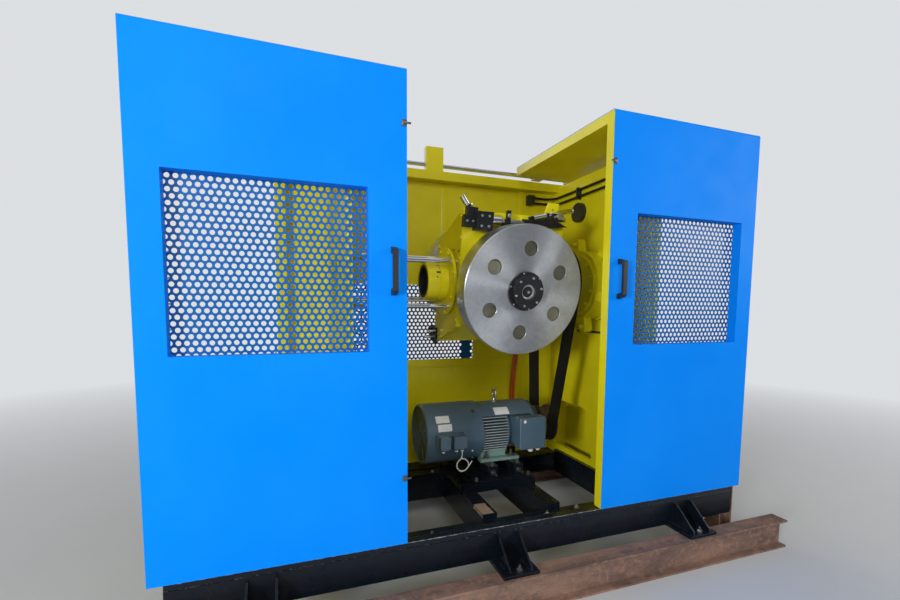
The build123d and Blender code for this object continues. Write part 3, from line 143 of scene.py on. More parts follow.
class Nodes:
    """The nodes of one shader tree, which starts empty."""

    def __init__(self, tree):
        self.tree = tree
        tree.nodes.clear()

    def feed(self, socket, value):
        """Links an output to an input, or sets the input to a plain value."""
        if isinstance(value, bpy.types.NodeSocket):
            self.tree.links.new(value, socket)
        else:
            socket.default_value = value

    def fill(self, made, **inputs):
        """Sets or links a node's inputs by name."""
        for name, value in inputs.items():
            self.feed(made.inputs[name.replace("_", " ")], value)
        return made

    def new(self, kind, **inputs):
        """A node of a kind, with its inputs set or linked by name."""
        return self.fill(self.tree.nodes.new("ShaderNode" + kind), **inputs)

    def operate(self, kind, what, values):
        """The outputs of a math node that does one operation on its values."""
        made = self.new(kind)
        made.operation = what
        for socket, value in zip(made.inputs, values):
            self.feed(socket, value)
        return made.outputs

    def plus(self, a, b):
        return self.operate("Math", "ADD", (a, b))[0]

    def times(self, a, b):
        return self.operate("Math", "MULTIPLY", (a, b))[0]

    def more(self, a, b):
        return self.operate("Math", "MAXIMUM", (a, b))[0]

    def vector(self, what, *values):
        """The vector that an operation on vectors gives."""
        return self.operate("VectorMath", what, values)["Vector"]

    def length(self, vector):
        return self.operate("VectorMath", "LENGTH", (vector,))["Value"]

    def place(self, stretch=EVEN):
        """The point on the object, in metres, with each axis stretched."""
        spot = self.new("TexCoord").outputs["Object"]
        return self.new("Mapping", Vector=spot, Scale=stretch).outputs["Vector"]

    def noise(self, scale, detail, rough, stretch=EVEN, distort=0.0):
        """A noise value from 0 to 1."""
        return self.new("TexNoise", Vector=self.place(stretch), Scale=scale, Detail=detail, Roughness=rough,
                        Distortion=distort).outputs["Fac"]

    def span(self, value, low=0.3, high=0.7, to_low=0.0, to_high=1.0):
        """Maps a value from one range to another, clamped. Most of a noise lies from 0.3 to 0.7."""
        return self.new("MapRange", Value=value, From_Min=low, From_Max=high, To_Min=to_low,
                        To_Max=to_high).outputs["Result"]

    def cloud(self, noise, *ranges):
        """A noise, given as its settings, with span's ranges."""
        return self.span(self.noise(*noise), *ranges)

    def mixed(self, factor, a, b):
        """A colour between two colours."""
        made = self.new("Mix")
        made.data_type = "RGBA"
        for name, value in (("Factor", factor), ("A", a), ("B", b)):
            socket = next(each for each in made.inputs if each.name == name and each.enabled)
            self.feed(socket, (*value, 1.0) if isinstance(value, tuple) else value)
        return next(each for each in made.outputs if each.enabled)

    def either(self, factor, first, second):
        """A shader between the shaders of two nodes."""
        made = self.new("MixShader", Fac=factor)
        self.feed(made.inputs[1], first.outputs[0])
        self.feed(made.inputs[2], second.outputs[0])
        return made.outputs[0]

    def to_camera(self):
        """1 where the camera sees the surface directly."""
        return self.new("LightPath").outputs["Is Camera Ray"]

    def facing_up(self):
        """1 on faces that look up, where dust settles."""
        normal = self.new("NewGeometry").outputs["Normal"]
        return self.span(self.new("SeparateXYZ", Vector=normal).outputs["Z"], 0.55, 0.95)

    def edge_wear(self, reach):
        """1 along sharp edges, within reach in metres."""
        bevel = self.new("Bevel", Radius=reach)
        bevel.samples = 4
        normals = bevel.outputs["Normal"], self.new("NewGeometry").outputs["Normal"]
        return self.span(self.operate("VectorMath", "DOT_PRODUCT", normals)["Value"], 0.985, 0.86)

    def within(self, low, high, ragged=0.012, fade=0.003):
        """1 inside a box in metres, with ragged edges."""
        where = self.place()
        shake = self.new("TexNoise", Vector=where, Scale=45.0, Detail=4.0, Roughness=0.6).outputs["Color"]
        moved = self.new("SeparateXYZ", Vector=self.vector("MULTIPLY_ADD", shake, (ragged,) * 3, where))
        inside = 1.0
        for axis, start, end in zip("XYZ", low, high):
            inside = self.times(inside, self.span(moved.outputs[axis], start, start + fade))
            inside = self.times(inside, self.span(moved.outputs[axis], end, end - fade))
        return inside


class Look(Nodes):
    """A material with a Principled shader, kept in LOOKS under its name."""

    def __init__(self, name):
        LOOKS[name] = bpy.data.materials.new(name)
        LOOKS[name].use_nodes = True
        super().__init__(LOOKS[name].node_tree)
        self.output = self.new("OutputMaterial")
        self.surface = self.new("BsdfPrincipled")
        self.feed(self.output.inputs["Surface"], self.surface.outputs["BSDF"])

    def set(self, **inputs):
        """Sets or links the surface's inputs by name."""
        self.fill(self.surface, **inputs)

    def bump(self, height, depth, strength, under=None):
        """Lets a height, in shares of a depth in metres, tilt the normal, over another such normal."""
        made = self.new("Bump", Height=height, Strength=strength, Distance=depth)
        if under is not None:
            self.feed(made.inputs["Normal"], under)
        self.set(Normal=made.outputs["Normal"])
        return made.outputs["Normal"]


def shaded(color, factor, lift=0.0):
    """A colour times a factor, lifted a little and kept below 1."""
    return tuple(min(1.0, channel * factor + lift) for channel in color)


def paint(name, color, rough=0.3, variation=0.06, peel=0.04, dust=0.0, dust_color=(0.3, 0.28, 0.25), wear=0.0,
          wear_color=(0.25, 0.25, 0.26), stains=0.0, stain_color=(0.1, 0.08, 0.05), coat=0.25, gloss=0.5,
          patches=()):
    """Sprayed paint: slow colour drift, orange peel, settled dust, stains, and edges worn to the metal."""
    look = Look(name)
    shade = look.mixed(look.cloud(PAINT_DRIFT), shaded(color, 1.0 - 2.2 * variation),
                       shaded(color, 1.0 + variation, 0.004))
    shine = look.cloud(PAINT_SHEEN, 0.3, 0.75, rough * 0.8, rough * 1.35)
    if stains:
        runs, spots = look.cloud(STAIN_RUNS, 0.52, 0.78), look.cloud(STAIN_SPOTS, 0.38, 0.66, 0.35)
        shade = look.mixed(look.times(look.times(runs, spots), stains), shade, stain_color)
    if dust:
        settled = look.times(look.facing_up(), look.cloud(SETTLED_DUST, 0.28, 0.72, 0.25))
        film = look.cloud(DUST_FILM, 0.45, 0.85, 0.0, 0.35)
        amount = look.times(look.more(settled, film), dust)
        shade = look.mixed(amount, shade, dust_color)
        shine = look.plus(shine, look.times(amount, 0.5))
    if wear:
        chipped = look.times(look.edge_wear(0.004), look.cloud(PAINT_CHIPS, 0.5, 0.62))
        shade = look.mixed(look.times(chipped, wear), shade, wear_color)
    for low, high, patch_color in patches:
        shade = look.mixed(look.within(low, high), shade, patch_color)
    look.set(Base_Color=shade, Roughness=shine, Specular_IOR_Level=gloss, Coat_Weight=coat,
             Coat_Roughness=0.12)
    waves = look.bump(look.noise(*PAINT_WAVES), 0.0012, 0.25)
    look.bump(look.noise(*PAINT_PEEL), 0.0003, peel * 10.0, waves)


def steel(name, color, rough, streak, streak_scale, depth, spots=0.0):
    """Bare metal with machining streaks and a few brown spots."""
    look = Look(name)
    lines = look.noise(streak_scale, 2.0, 0.5, streak)
    cloud = look.cloud(METAL_CLOUD)
    shade = look.mixed(cloud, shaded(color, 0.82), color)
    if spots:
        shade = look.mixed(look.cloud(METAL_SPOTS, 0.58, 0.7, 0.0, spots), shade, (0.12, 0.07, 0.04))
    shine = look.plus(look.span(lines, 0.3, 0.7, rough * 0.8, rough * 1.15),
                      look.span(cloud, 0.0, 1.0, rough * 0.25, 0.0))
    look.set(Base_Color=shade, Roughness=shine, Metallic=1.0)
    look.bump(lines, depth, 0.4)


def faced(name, color, rough, middle):
    """Metal faced on a lathe: fine rings round the pad's axis, so that the light spreads across them."""
    look = Look(name)
    axis = tuple(HEAD_OUT)
    arm = look.vector("SUBTRACT", look.new("TexCoord").outputs["Object"], tuple(middle))
    sideways = look.vector("CROSS_PRODUCT", axis, arm)
    lathe = look.new("TexNoise")
    lathe.noise_dimensions = "1D"
    rings = look.fill(lathe, W=look.length(sideways), Scale=520.0, Detail=3.0).outputs["Fac"]
    radial = look.new("VectorTransform", Vector=look.vector("CROSS_PRODUCT", sideways, axis))
    radial.vector_type, radial.convert_from, radial.convert_to = "VECTOR", "OBJECT", "WORLD"
    tangent = look.vector("NORMALIZE", radial.outputs["Vector"])
    smears, fine = look.cloud(LATHE_SMEARS, 0.35, 0.75), look.cloud(LATHE_FINE)
    worn = look.plus(look.times(smears, 0.75), look.times(fine, 0.25))
    shade = look.mixed(worn, shaded(color, 0.65), color)
    shade = look.mixed(look.cloud(LATHE_SPOTS, 0.64, 0.72, 0.0, 0.6), shade, (0.2, 0.14, 0.09))
    shade = look.mixed(look.span(rings, to_low=0.9), shaded(color, 0.8), shade)
    shine = look.plus(look.span(worn, 0.0, 1.0, rough * 1.3, rough * 0.9),
                      look.span(rings, to_low=-0.03, to_high=0.04))
    look.set(Base_Color=shade, Roughness=shine, Tangent=tangent, Metallic=1.0, Anisotropic=0.85)
    look.bump(rings, 0.00006, 0.35)


def rusty(name, dark, middle, bright, rough=0.78, scale=6.0, bright_share=0.7):
    """Rusted rolled steel: dark scale, brown rust and a few brighter blooms, pitted."""
    look = Look(name)
    scaled = look.cloud((scale, 8.0, 0.68, (0.35, 1.0, 1.0), 0.5), 0.36, 0.62)
    blooms = look.cloud((scale * 4.5, 7.0, 0.72), 0.5, 0.7, 0.0, bright_share)
    shade = look.mixed(blooms, look.mixed(scaled, dark, middle), bright)
    grain = look.noise(*RUST_GRAIN)
    shade = look.mixed(look.span(grain, 0.35, 0.65, 0.0, 0.35), shade, shaded(dark, 0.5))
    look.set(Base_Color=shade, Roughness=look.span(grain, 0.3, 0.7, rough * 0.8, rough * 1.15), Metallic=0.15)
    pits = look.bump(look.noise(scale * 5.0, 6.0, 0.7), 0.0012, 0.5)
    look.bump(grain, 0.0005, 0.6, pits)


def plastic(name, color, rough=0.5, dust=0.0, gloss=0.5):
    """Moulded plastic or rubber with a fine grain and a little dust."""
    look = Look(name)
    shade = look.mixed(look.cloud(PLASTIC_DRIFT), shaded(color, 0.85), shaded(color, 1.12, 0.002))
    if dust:
        shade = look.mixed(look.times(look.cloud(PLASTIC_DUST, 0.4, 0.8), dust), shade, (0.25, 0.23, 0.2))
    shine = look.cloud(PLASTIC_SHEEN, 0.3, 0.7, rough * 0.85, rough * 1.2)
    look.set(Base_Color=shade, Roughness=shine, Specular_IOR_Level=gloss)
    look.bump(look.noise(*PLASTIC_GRAIN), 0.00006, 0.6)


# Looks, most of them named as the material slots

BLACK = {"color": (0.003, 0.006, 0.012), "variation": 0.2, "peel": 0.05, "dust": 0.08,
         "dust_color": (0.07, 0.08, 0.1)}
ALONG = (0.05, 1.0, 1.0)
# Scraped paint on the cross members, and a light brown patch on one member's top: low corner, high corner,
# colour
SCRAPED = ((-0.313, 0.2, 0.202), (-0.169, 0.218, 0.287), (0.2, 0.2, 0.21))
LIGHT_BROWN_PATCH = ((-0.085, -0.395, 0.32), (-0.02, -0.27, 0.345), (0.33, 0.22, 0.17))
# A lighter strip along the track's top edge: steel worn bare where the hoods' rollers run, and a painted
# highlight along the edge
WORN_LIT_STRIP = ((-1.44, TRACK_LOW.y - 0.02, TRACK_HIGH.z + 0.0035),
            (1.44, TRACK_LOW.y + 0.011, TRACK_HIGH.z + 0.03), (0.3, 0.31, 0.32))

paint("blue_paint", (0.0, 0.262, 1.0), rough=0.4, variation=0.02, peel=0.03, coat=0.0, gloss=0.05)
# The screens' blue is a darker copy of the doors' blue: painted shade of the screens in their recessed
# windows.
paint("shaded_screen_blue", (0.0, 0.12, 0.4), rough=0.42, variation=0.08, peel=0.03, coat=0.03, gloss=0.2)
paint("yellow_paint", (0.84, 0.735, 0.006), rough=0.36, variation=0.05, peel=0.05, dust=0.12,
      dust_color=(0.42, 0.36, 0.12), stains=0.22, stain_color=(0.3, 0.22, 0.03), gloss=0.32)
paint("black_paint", **BLACK, rough=0.26, wear=0.3, wear_color=(0.2, 0.2, 0.2), stains=0.2,
      stain_color=(0.03, 0.026, 0.022), coat=0.1, gloss=0.22)
paint("black_base", **BLACK, rough=0.24, wear=0.3, wear_color=(0.2, 0.2, 0.2), stains=0.3,
      stain_color=(0.04, 0.035, 0.03), coat=0.15, gloss=0.25, patches=(SCRAPED, LIGHT_BROWN_PATCH))
paint("black_track", **BLACK, rough=0.24, wear=0.8, wear_color=(0.4, 0.4, 0.4), coat=0.15, gloss=0.25,
      patches=(WORN_LIT_STRIP,))
paint("black_steel", (0.008, 0.009, 0.011), variation=0.15, dust=0.04, wear=0.5,
      wear_color=(0.32, 0.32, 0.33), coat=0.1, gloss=0.4)
paint("motor_grey", (0.07, 0.13, 0.19), rough=0.34, variation=0.08, peel=0.07, dust=0.3,
      dust_color=(0.2, 0.22, 0.22), wear=0.6, wear_color=(0.32, 0.34, 0.35), coat=0.3)
paint("bell_grey", (0.075, 0.115, 0.14), rough=0.4, variation=0.1, peel=0.07, dust=0.2,
      dust_color=(0.2, 0.22, 0.22), stains=0.75, stain_color=(0.34, 0.46, 0.42))
# Pale paint for the fins' edges: a painted highlight where they catch light, partly bare metal.
paint("lit_fin_edge", (0.36, 0.4, 0.39), rough=0.4, variation=0.12, stains=0.3, stain_color=(0.1, 0.13, 0.15))
paint("green_primer", (0.2, 0.32, 0.29), rough=0.5, variation=0.12, peel=0.05, dust=0.2, wear=0.6,
      wear_color=(0.3, 0.2, 0.14), stains=0.5, stain_color=(0.1, 0.07, 0.05))
rusty("rusty_steel", (0.12, 0.078, 0.068), (0.37, 0.22, 0.16), (0.55, 0.3, 0.19))
rusty("cast_iron", (0.06, 0.045, 0.038), (0.13, 0.07, 0.05), (0.26, 0.12, 0.06), 0.6, 14.0, 0.35)
plastic("black_plastic", (0.018, 0.019, 0.021), rough=0.42)
plastic("belt_rubber", (0.004, 0.004, 0.004), rough=0.6, dust=0.03, gloss=0.25)
plastic("hose_rubber", (0.007, 0.007, 0.008), rough=0.4, gloss=0.35)
plastic("orange_hose", (0.62, 0.1, 0.018), rough=0.45, dust=0.15)
plastic("white_lead", (0.8, 0.8, 0.78), rough=0.4)
plastic("bare_white", (0.78, 0.79, 0.8), rough=0.35, dust=0.15)
plastic("grille_grey", (0.02, 0.034, 0.036), dust=0.15)
# Near black: painted shade in the head's holes and the rod's painted shadow on the nose tube, and the nose's
# set screw.
plastic("shade_and_screw_black", (0.012, 0.02, 0.02), rough=0.55, dust=0.1)
steel("chrome", (0.82, 0.83, 0.85), 0.08, ALONG, 90.0, 0.00001)
steel("steel", (0.52, 0.52, 0.53), 0.3, ALONG, 400.0, 0.00008, spots=0.4)
steel("aluminium", (0.76, 0.78, 0.81), 0.3, (0.6, 1.0, 1.0), 240.0, 0.00008)
steel("dull_steel", (0.2, 0.2, 0.205), 0.4, EVEN, 200.0, 0.00006, spots=0.4)
steel("zinc", (0.62, 0.62, 0.6), 0.32, EVEN, 200.0, 0.00006, spots=0.35)
faced("front_disc", (0.72, 0.75, 0.8), 0.36, FRONT_PAD)
faced("rear_disc", (0.72, 0.75, 0.8), 0.36, REAR_PAD)
faced("front_drum", (0.74, 0.76, 0.8), 0.34, FRONT_PAD)
faced("rear_drum", (0.74, 0.76, 0.8), 0.34, REAR_PAD)
# The disc behind the covers' holes: the same turned metal in a darker olive tone, painted shade on the disc
# seen through the holes.
faced("shaded_pad_web", (0.3, 0.29, 0.22), 0.42, FRONT_PAD)

# Nodes with a finer look than their slot's
NODE_LOOKS = {"front_pad_cover": "front_disc", "rear_pad_cover": "rear_disc", "front_pad_drum": "front_drum",
              "rear_pad_drum": "rear_drum", "base_cross_members": "black_base", "front_track": "black_track",
              "motor_bell": "bell_grey"}


def dress_nodes():
    """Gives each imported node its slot's look, or its own one."""
    slots = {part["node"]: part["material_slot"] for part in frame["record"]["subparts"]}
    for name, piece in frame["nodes"].items():
        piece.data.materials.clear()
        piece.data.materials.append(LOOKS.get(NODE_LOOKS.get(name, slots.get(name))))


# Studio

def link(name, data):
    """An object of some data in the scene."""
    made = bpy.data.objects.new(name, data)
    bpy.context.scene.collection.objects.link(made)
    return made


def floor():
    """A pale floor that fades into the backdrop's tone away from the machine."""
    reach, fade_start, fade_end = 40.0, 1.8, 8.0
    mesh = bpy.data.meshes.new("floor")
    corners = [(x * reach, y * reach, FLOOR) for x, y in ((-1, -1), (1, -1), (1, 1), (-1, 1))]
    mesh.from_pydata(corners, [], [(0, 1, 2, 3)])
    piece = link("floor", mesh)
    look = Look("floor_grey")
    shade = look.mixed(look.cloud(FLOOR_CLOUD), (0.6, 0.61, 0.62), (0.64, 0.65, 0.66))
    look.set(Base_Color=shade, Roughness=0.65)
    far = look.times(look.span(look.length(look.place()), fade_start, fade_end), look.to_camera())
    glow = look.new("Emission", Color=BACKDROP, Strength=1.0)
    look.feed(look.output.inputs["Surface"], look.either(far, look.surface, glow))
    mesh.materials.append(LOOKS["floor_grey"])


def sky():
    """A dim cool light from all round, which the camera sees as the backdrop's plain tone."""
    world = bpy.data.worlds.new("studio")
    bpy.context.scene.world = world
    world.use_nodes = True
    nodes = Nodes(world.node_tree)
    output = nodes.new("OutputWorld")
    light = nodes.new("Background", Color=(0.92, 0.95, 1.0, 1.0), Strength=0.15)
    seen = nodes.new("Background", Color=BACKDROP, Strength=1.0)
    nodes.feed(output.inputs["Surface"], nodes.either(nodes.to_camera(), light, seen))


def lamps():
    """Soft square lamps: name, place, the point that they face, size in metres, power in watts and colour."""
    for name, spot, target, size, power, color in (
            ("key", (-1.5, -6.5, 4.0), (0.0, 0.0, 1.2), 3.6, 135.0, (1.0, 0.99, 0.97)),
            ("left_low", (-4.2, -3.7, 1.75), (0.1, -0.3, 1.5), 0.8, 145.0, (0.93, 0.97, 1.0)),
            ("overhead", (0.0, -0.8, 6.5), (0.0, 0.0, 1.0), 5.0, 40.0, (0.96, 0.98, 1.0)),
            ("right_fill", (5.5, -3.5, 3.0), (0.0, 0.0, 1.2), 2.4, 115.0, (1.0, 1.0, 1.0)),
            ("rear_fill", (-2.0, 6.0, 4.5), (0.0, 0.0, 1.2), 4.0, 90.0, (1.0, 1.0, 1.0))):
        lamp = bpy.data.lights.new(name, "AREA")
        lamp.shape = "SQUARE"
        lamp.size = size
        lamp.energy = power
        lamp.color = color
        away = Vector(spot) - Vector(target)
        link(name, lamp).matrix_world = at(*spot) @ away.to_track_quat("Z", "Y").to_matrix().to_4x4()


def camera():
    """The camera at the photograph's place and angle."""
    eye = bpy.data.cameras.new("camera")
    eye.sensor_width = 36.0
    eye.lens = 17.83
    eye.shift_y = 0.0503
    eye.clip_end = 200.0
    holder = link("camera", eye)
    spot = (-0.98, -2.377, 1.372)
    yaw, pitch, roll = 19.71, 4.84, 0.39
    holder.matrix_world = at(*spot) @ turned(-yaw, "Z") @ turned(90.0 - pitch) @ turned(roll, "Z")
    bpy.context.scene.camera = holder


# Mesh building

def show(name, data, body, slot, look=None, soft_below=SOFT_BELOW):
    """Makes a bmesh an object on a body, with faces turned outwards and soft shading below an angle."""
    bmesh.ops.recalc_face_normals(data, faces=data.faces)
    mesh = bpy.data.meshes.new(name)
    data.to_mesh(mesh)
    data.free()
    mesh.shade_smooth()
    mesh.set_sharp_from_angle(angle=radians(soft_below))
    piece = link(name, mesh)
    mesh.materials.append(LOOKS[look or slot])
    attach(piece, body)
    return piece


def around(count):
    """The angles of a full turn in equal steps."""
    return [2 * pi * index / count for index in range(count)]


class Mesh:
    """Collects solids, each placed by a matrix, in one mesh. An outline is a list of (radius, z)."""

    def __init__(self):
        self.data = bmesh.new()

    def done(self, name, body, slot, look=None):
        """Makes the object, in its slot's look or in another one."""
        show(name, self.data, body, slot, look)

    def box(self, matrix, size, bevel):
        """A box round the matrix's origin, with bevelled edges."""
        made = bmesh.ops.create_cube(self.data, size=1.0)["verts"]
        bmesh.ops.scale(self.data, vec=size, verts=made)
        edges = dict.fromkeys(edge for vert in made for edge in vert.link_edges)
        result = bmesh.ops.bevel(self.data, geom=list(edges), offset=bevel, segments=2, affect="EDGES",
                                 profile=0.5)
        made = dict.fromkeys([vert for face in result["faces"] for vert in face.verts]
                             + [vert for vert in made if vert.is_valid])
        bmesh.ops.transform(self.data, matrix=matrix, verts=list(made))

    def bridge(self, low, high):
        """Faces between two rings of vertices; a ring may be a single one."""
        sides = max(len(low), len(high))
        for i in range(sides):
            j = (i + 1) % sides
            corners = (low[i % len(low)], low[j % len(low)], high[j % len(high)], high[i % len(high)])
            self.data.faces.new(tuple(dict.fromkeys(corners)))

    def loft(self, rings):
        """A solid through rings of points, closed at its ends."""
        rings = [[self.data.verts.new(point) for point in ring] for ring in rings]
        for low, high in zip(rings, rings[1:]):
            self.bridge(low, high)
        self.data.faces.new(rings[0][::-1])
        self.data.faces.new(rings[-1])

    def lathe(self, matrix, outline, sides):
        """A solid turned round z. An open outline that starts off the axis is closed here."""
        rings = []
        for radius, z in outline:
            angles = around(sides) if radius > 0.0 else [0.0]
            rings.append([self.data.verts.new(matrix @ Vector((radius * cos(angle), radius * sin(angle), z)))
                          for angle in angles])
        for low, high in zip(rings, rings[1:]):
            self.bridge(low, high)
        if outline[0][0] > 0.0 and outline[0] != outline[-1]:
            self.bridge(rings[-1], rings[0])

    def disc(self, matrix, radius, low, high, sides):
        """A plain cylinder between two heights."""
        self.lathe(matrix, [(0.0, low), (radius, low), (radius, high), (0.0, high)], sides)

    def pipe(self, matrix, inner, outer, low, high, sides):
        """A hollow cylinder between two heights."""
        self.lathe(matrix, [(inner, low), (outer, low), (outer, high), (inner, high)], sides)

    def rod(self, matrix, radius, length, sides, edge):
        """A round bar from the matrix's origin along its z, with chamfered ends."""
        self.lathe(matrix, [(0.0, 0.0), (radius - edge, 0.0), (radius, edge), (radius, length - edge),
                            (radius - edge, length), (0.0, length)], sides)

    def head(self, matrix, foot, shoulder, rise, height, sides):
        """A rivet's round head."""
        self.lathe(matrix, [(0.0, 0.0), (foot, 0.0), (shoulder, rise), (0.0, height)], sides)

    def plug(self, matrix, foot, rise, top, height, sides):
        """A gland: a cylinder up to rise, then a cone up to its flat top."""
        self.lathe(matrix, [(0.0, 0.0), (foot, 0.0), (foot, rise), (top, height), (0.0, height)], sides)

    def bolt(self, matrix, width, height, washer=0.0, shank=0.0):
        """A hexagon head over a washer, with the shank's end on top where it is a nut."""
        thick = width * 0.12 if washer else 0.0
        if washer:
            self.disc(matrix, washer, 0.0, thick, 20)
        radius, top = width / sqrt(3.0), thick + height
        self.lathe(matrix, [(0.0, thick), (radius, thick), (radius, thick + height * 0.82),
                            (radius * 0.9, top), (0.0, top)], 6)
        if shank:
            self.disc(matrix, width * 0.28, top, top + shank, 12)

    def cap_screw(self, matrix, radius, height):
        """A socket cap screw with its socket."""
        socket, floor_z = radius * 0.5, height * 0.4
        self.lathe(matrix, [(0.0, 0.0), (radius, 0.0), (radius, height * 0.85), (radius * 0.88, height),
                            (socket, height), (socket, floor_z), (0.0, floor_z)], 18)

    def tube(self, points, radius, sides):
        """A round tube through a list of points."""
        rings = []
        normal = None
        for index, point in enumerate(points):
            before = points[max(index - 1, 0)]
            after = points[min(index + 1, len(points) - 1)]
            along = (after - before).normalized()
            if normal is None:
                normal = along.orthogonal().normalized()
            normal = (normal - along * normal.dot(along)).normalized()
            other = along.cross(normal)
            rings.append([point + radius * (cos(angle) * normal + sin(angle) * other)
                          for angle in around(sides)])
        self.loft(rings)


def ring(base, radius, count, start):
    """Places on a ring round a matrix's z, the first at start degrees."""
    return [base @ turned(start + 360.0 * i / count, "Z") @ at(radius, 0.0, 0.0) for i in range(count)]


def four_corners(left, right, bottom, top, inset):
    """The (x, z) of a face's corners, moved in."""
    return [(x, z) for x in (left + inset, right - inset) for z in (bottom + inset, top - inset)]


def edge_row(left, bottom, right, top, pitch):
    """Places along a rectangle's four edges, about a pitch apart."""
    places = []
    corners = [(left, bottom), (right, bottom), (right, top), (left, top)]
    for start, end in zip(corners, corners[1:] + corners[:1]):
        length = abs(end[0] - start[0]) + abs(end[1] - start[1])
        count = max(1, round(length / pitch))
        places += [[a + (b - a) * index / count for a, b in zip(start, end)] for index in range(count)]
    return places


# Perforated screens

def perforated(name, node_name, body, solid=(0.0, 0.0)):
    """A sheet of staggered round holes in place of a plain screen. solid is an x range without holes."""
    thickness, pitch, hole, sides = 0.002, 0.028, 0.0195, 12
    low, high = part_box(node_name)
    row_step = pitch * sqrt(3.0) / 2
    data = bmesh.new()
    for row in range(-1, ceil((high.z - low.z) / row_step) + 2):
        for column in range(-1, ceil((high.x - low.x) / pitch) + 2):
            middle_x = low.x + (column + (0.5 if row % 2 else 0.0)) * pitch
            middle_z = low.z + row * row_step
            inner, outer = [], []
            for turn in around(sides):
                x, z = cos(turn + pi / 6), sin(turn + pi / 6)
                cell = pitch / 2 / cos(turn % (pi / 3) - pi / 6)
                for made, reach in ((outer, cell), (inner, hole / 2)):
                    made.append(data.verts.new((middle_x + reach * x, 0.0, middle_z + reach * z)))
            if solid[0] < middle_x < solid[1]:
                data.faces.new(inner)
            for index in range(sides):
                after = (index + 1) % sides
                data.faces.new((inner[index], outer[index], outer[after], inner[after]))
    bmesh.ops.remove_doubles(data, verts=data.verts, dist=pitch * 0.01)
    for point, normal in (((low.x, 0, 0), (-1, 0, 0)), ((high.x, 0, 0), (1, 0, 0)),
                          ((0, 0, low.z), (0, 0, -1)), ((0, 0, high.z), (0, 0, 1))):
        bmesh.ops.bisect_plane(data, geom=data.verts[:] + data.edges[:] + data.faces[:], plane_co=point,
                               plane_no=normal, clear_outer=True)
    walls = bmesh.ops.extrude_face_region(data, geom=data.faces[:])
    lifted = [item for item in walls["geom"] if isinstance(item, bmesh.types.BMVert)]
    bmesh.ops.translate(data, vec=(0.0, thickness, 0.0), verts=lifted)
    bmesh.ops.translate(data, vec=(0.0, (low.y + high.y - thickness) / 2, 0.0), verts=data.verts)
    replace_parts(show(name, data, body, "blue_paint", "shaded_screen_blue", 40.0), node_name)


def screens():
    """The three perforated windows; the rear one has a plain strip near its right edge."""
    for side in ("left", "right"):
        perforated(f"{side}_window_screen", f"{side}_hood_screen", f"{side}_hood")
    perforated("rear_window_screen", "rear_screen", "frame", solid=(0.143, 0.22))


# Cord

def blower_lead():
    """The spare white lead that leaves the large junction box and lies in two loose turns under it."""
    y = GLAND_Y
    middle_x, middle_z, loop, wobble, spread = -0.09, 0.495, 0.0362, 0.0015, 0.007
    start, sweep, steps = 125.0, 555.0, 20
    points = [(-0.093, y, 0.575), (-0.093, y, 0.556), (-0.0975, y - 0.001, 0.5336)]
    for index in range(steps + 1):
        angle = radians(start + sweep * index / steps)
        reach = loop + wobble * sin(index * 1.7)
        points.append((middle_x + reach * cos(angle), y - spread / 2 + spread * index / steps,
                       middle_z + reach * sin(angle)))
    points += [(-0.047, y + 0.002, 0.4902), (-0.033, y, 0.512)]
    curve = bpy.data.curves.new("blower_lead_cord", "CURVE")
    curve.dimensions = "3D"
    spline = curve.splines.new("NURBS")
    spline.points.add(len(points) - 1)
    for spot, point in zip(spline.points, points):
        spot.co = (*point, 1.0)
    spline.order_u = 3
    spline.use_endpoint_u = True
    curve.resolution_u = 8
    curve.bevel_depth = 0.00275
    curve.bevel_resolution = 4
    curve.use_fill_caps = True
    piece = link("blower_lead_cord", curve)
    curve.materials.append(LOOKS["white_lead"])
    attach(piece, "frame")
    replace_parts(piece, "blower_lead", "blower_lead_coil")


# Small pieces that the CAD leaves out

def hoods():
    """Handle screws, door catches and the rivets behind the screens."""
    handle_end, handle_out = 0.009, 0.0175
    catch_heights = {"left": (2.118, 0.632), "right": (2.0884,)}
    leaf, tongue = (0.018, 0.004, 0.028), (0.032, 0.0044, 0.008)
    leaf_in, tongue_in, screw_in, screw_off = 0.013, 0.0005, 0.016, 0.0095
    rivet_in, rivet_pitch = 0.006, 0.09
    for side, way in (("left", -1.0), ("right", 1.0)):
        body = f"{side}_hood"
        skin_low, skin_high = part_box(f"{side}_hood_skin")
        front = skin_low.y
        edge = skin_high.x if side == "left" else skin_low.x
        low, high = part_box(f"{side}_hood_handle")
        screws = Mesh()
        for z in (low.z + handle_end, high.z - handle_end):
            screws.cap_screw(at((low.x + high.x) / 2, front - handle_out, z, "-Y"), *COVER_SCREW)
        screws.done(f"{side}_handle_screws", body, "black_plastic")
        catches = Mesh()
        for z in catch_heights[side]:
            face = front - leaf[1]
            catches.box(at(edge + way * leaf_in, front - leaf[1] / 2, z), leaf, 0.0012)
            catches.box(at(edge + way * tongue_in, face - tongue[1] / 2, z), tongue, 0.001)
            for rise in (screw_off, -screw_off):
                catches.cap_screw(at(edge + way * screw_in, face, z + rise, "-Y"), *CATCH_SCREW)
        catches.done(f"{side}_door_catches", body, "steel", "dull_steel")
        low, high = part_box(f"{side}_hood_screen")
        rivets = Mesh()
        for x, z in edge_row(low.x + rivet_in, low.z + rivet_in, high.x - rivet_in, high.z - rivet_in,
                             rivet_pitch):
            rivets.head(at(x, high.y, z, "Y"), *HOOD_RIVET, 10)
        rivets.done(f"{side}_screen_rivets", body, "steel", "zinc")


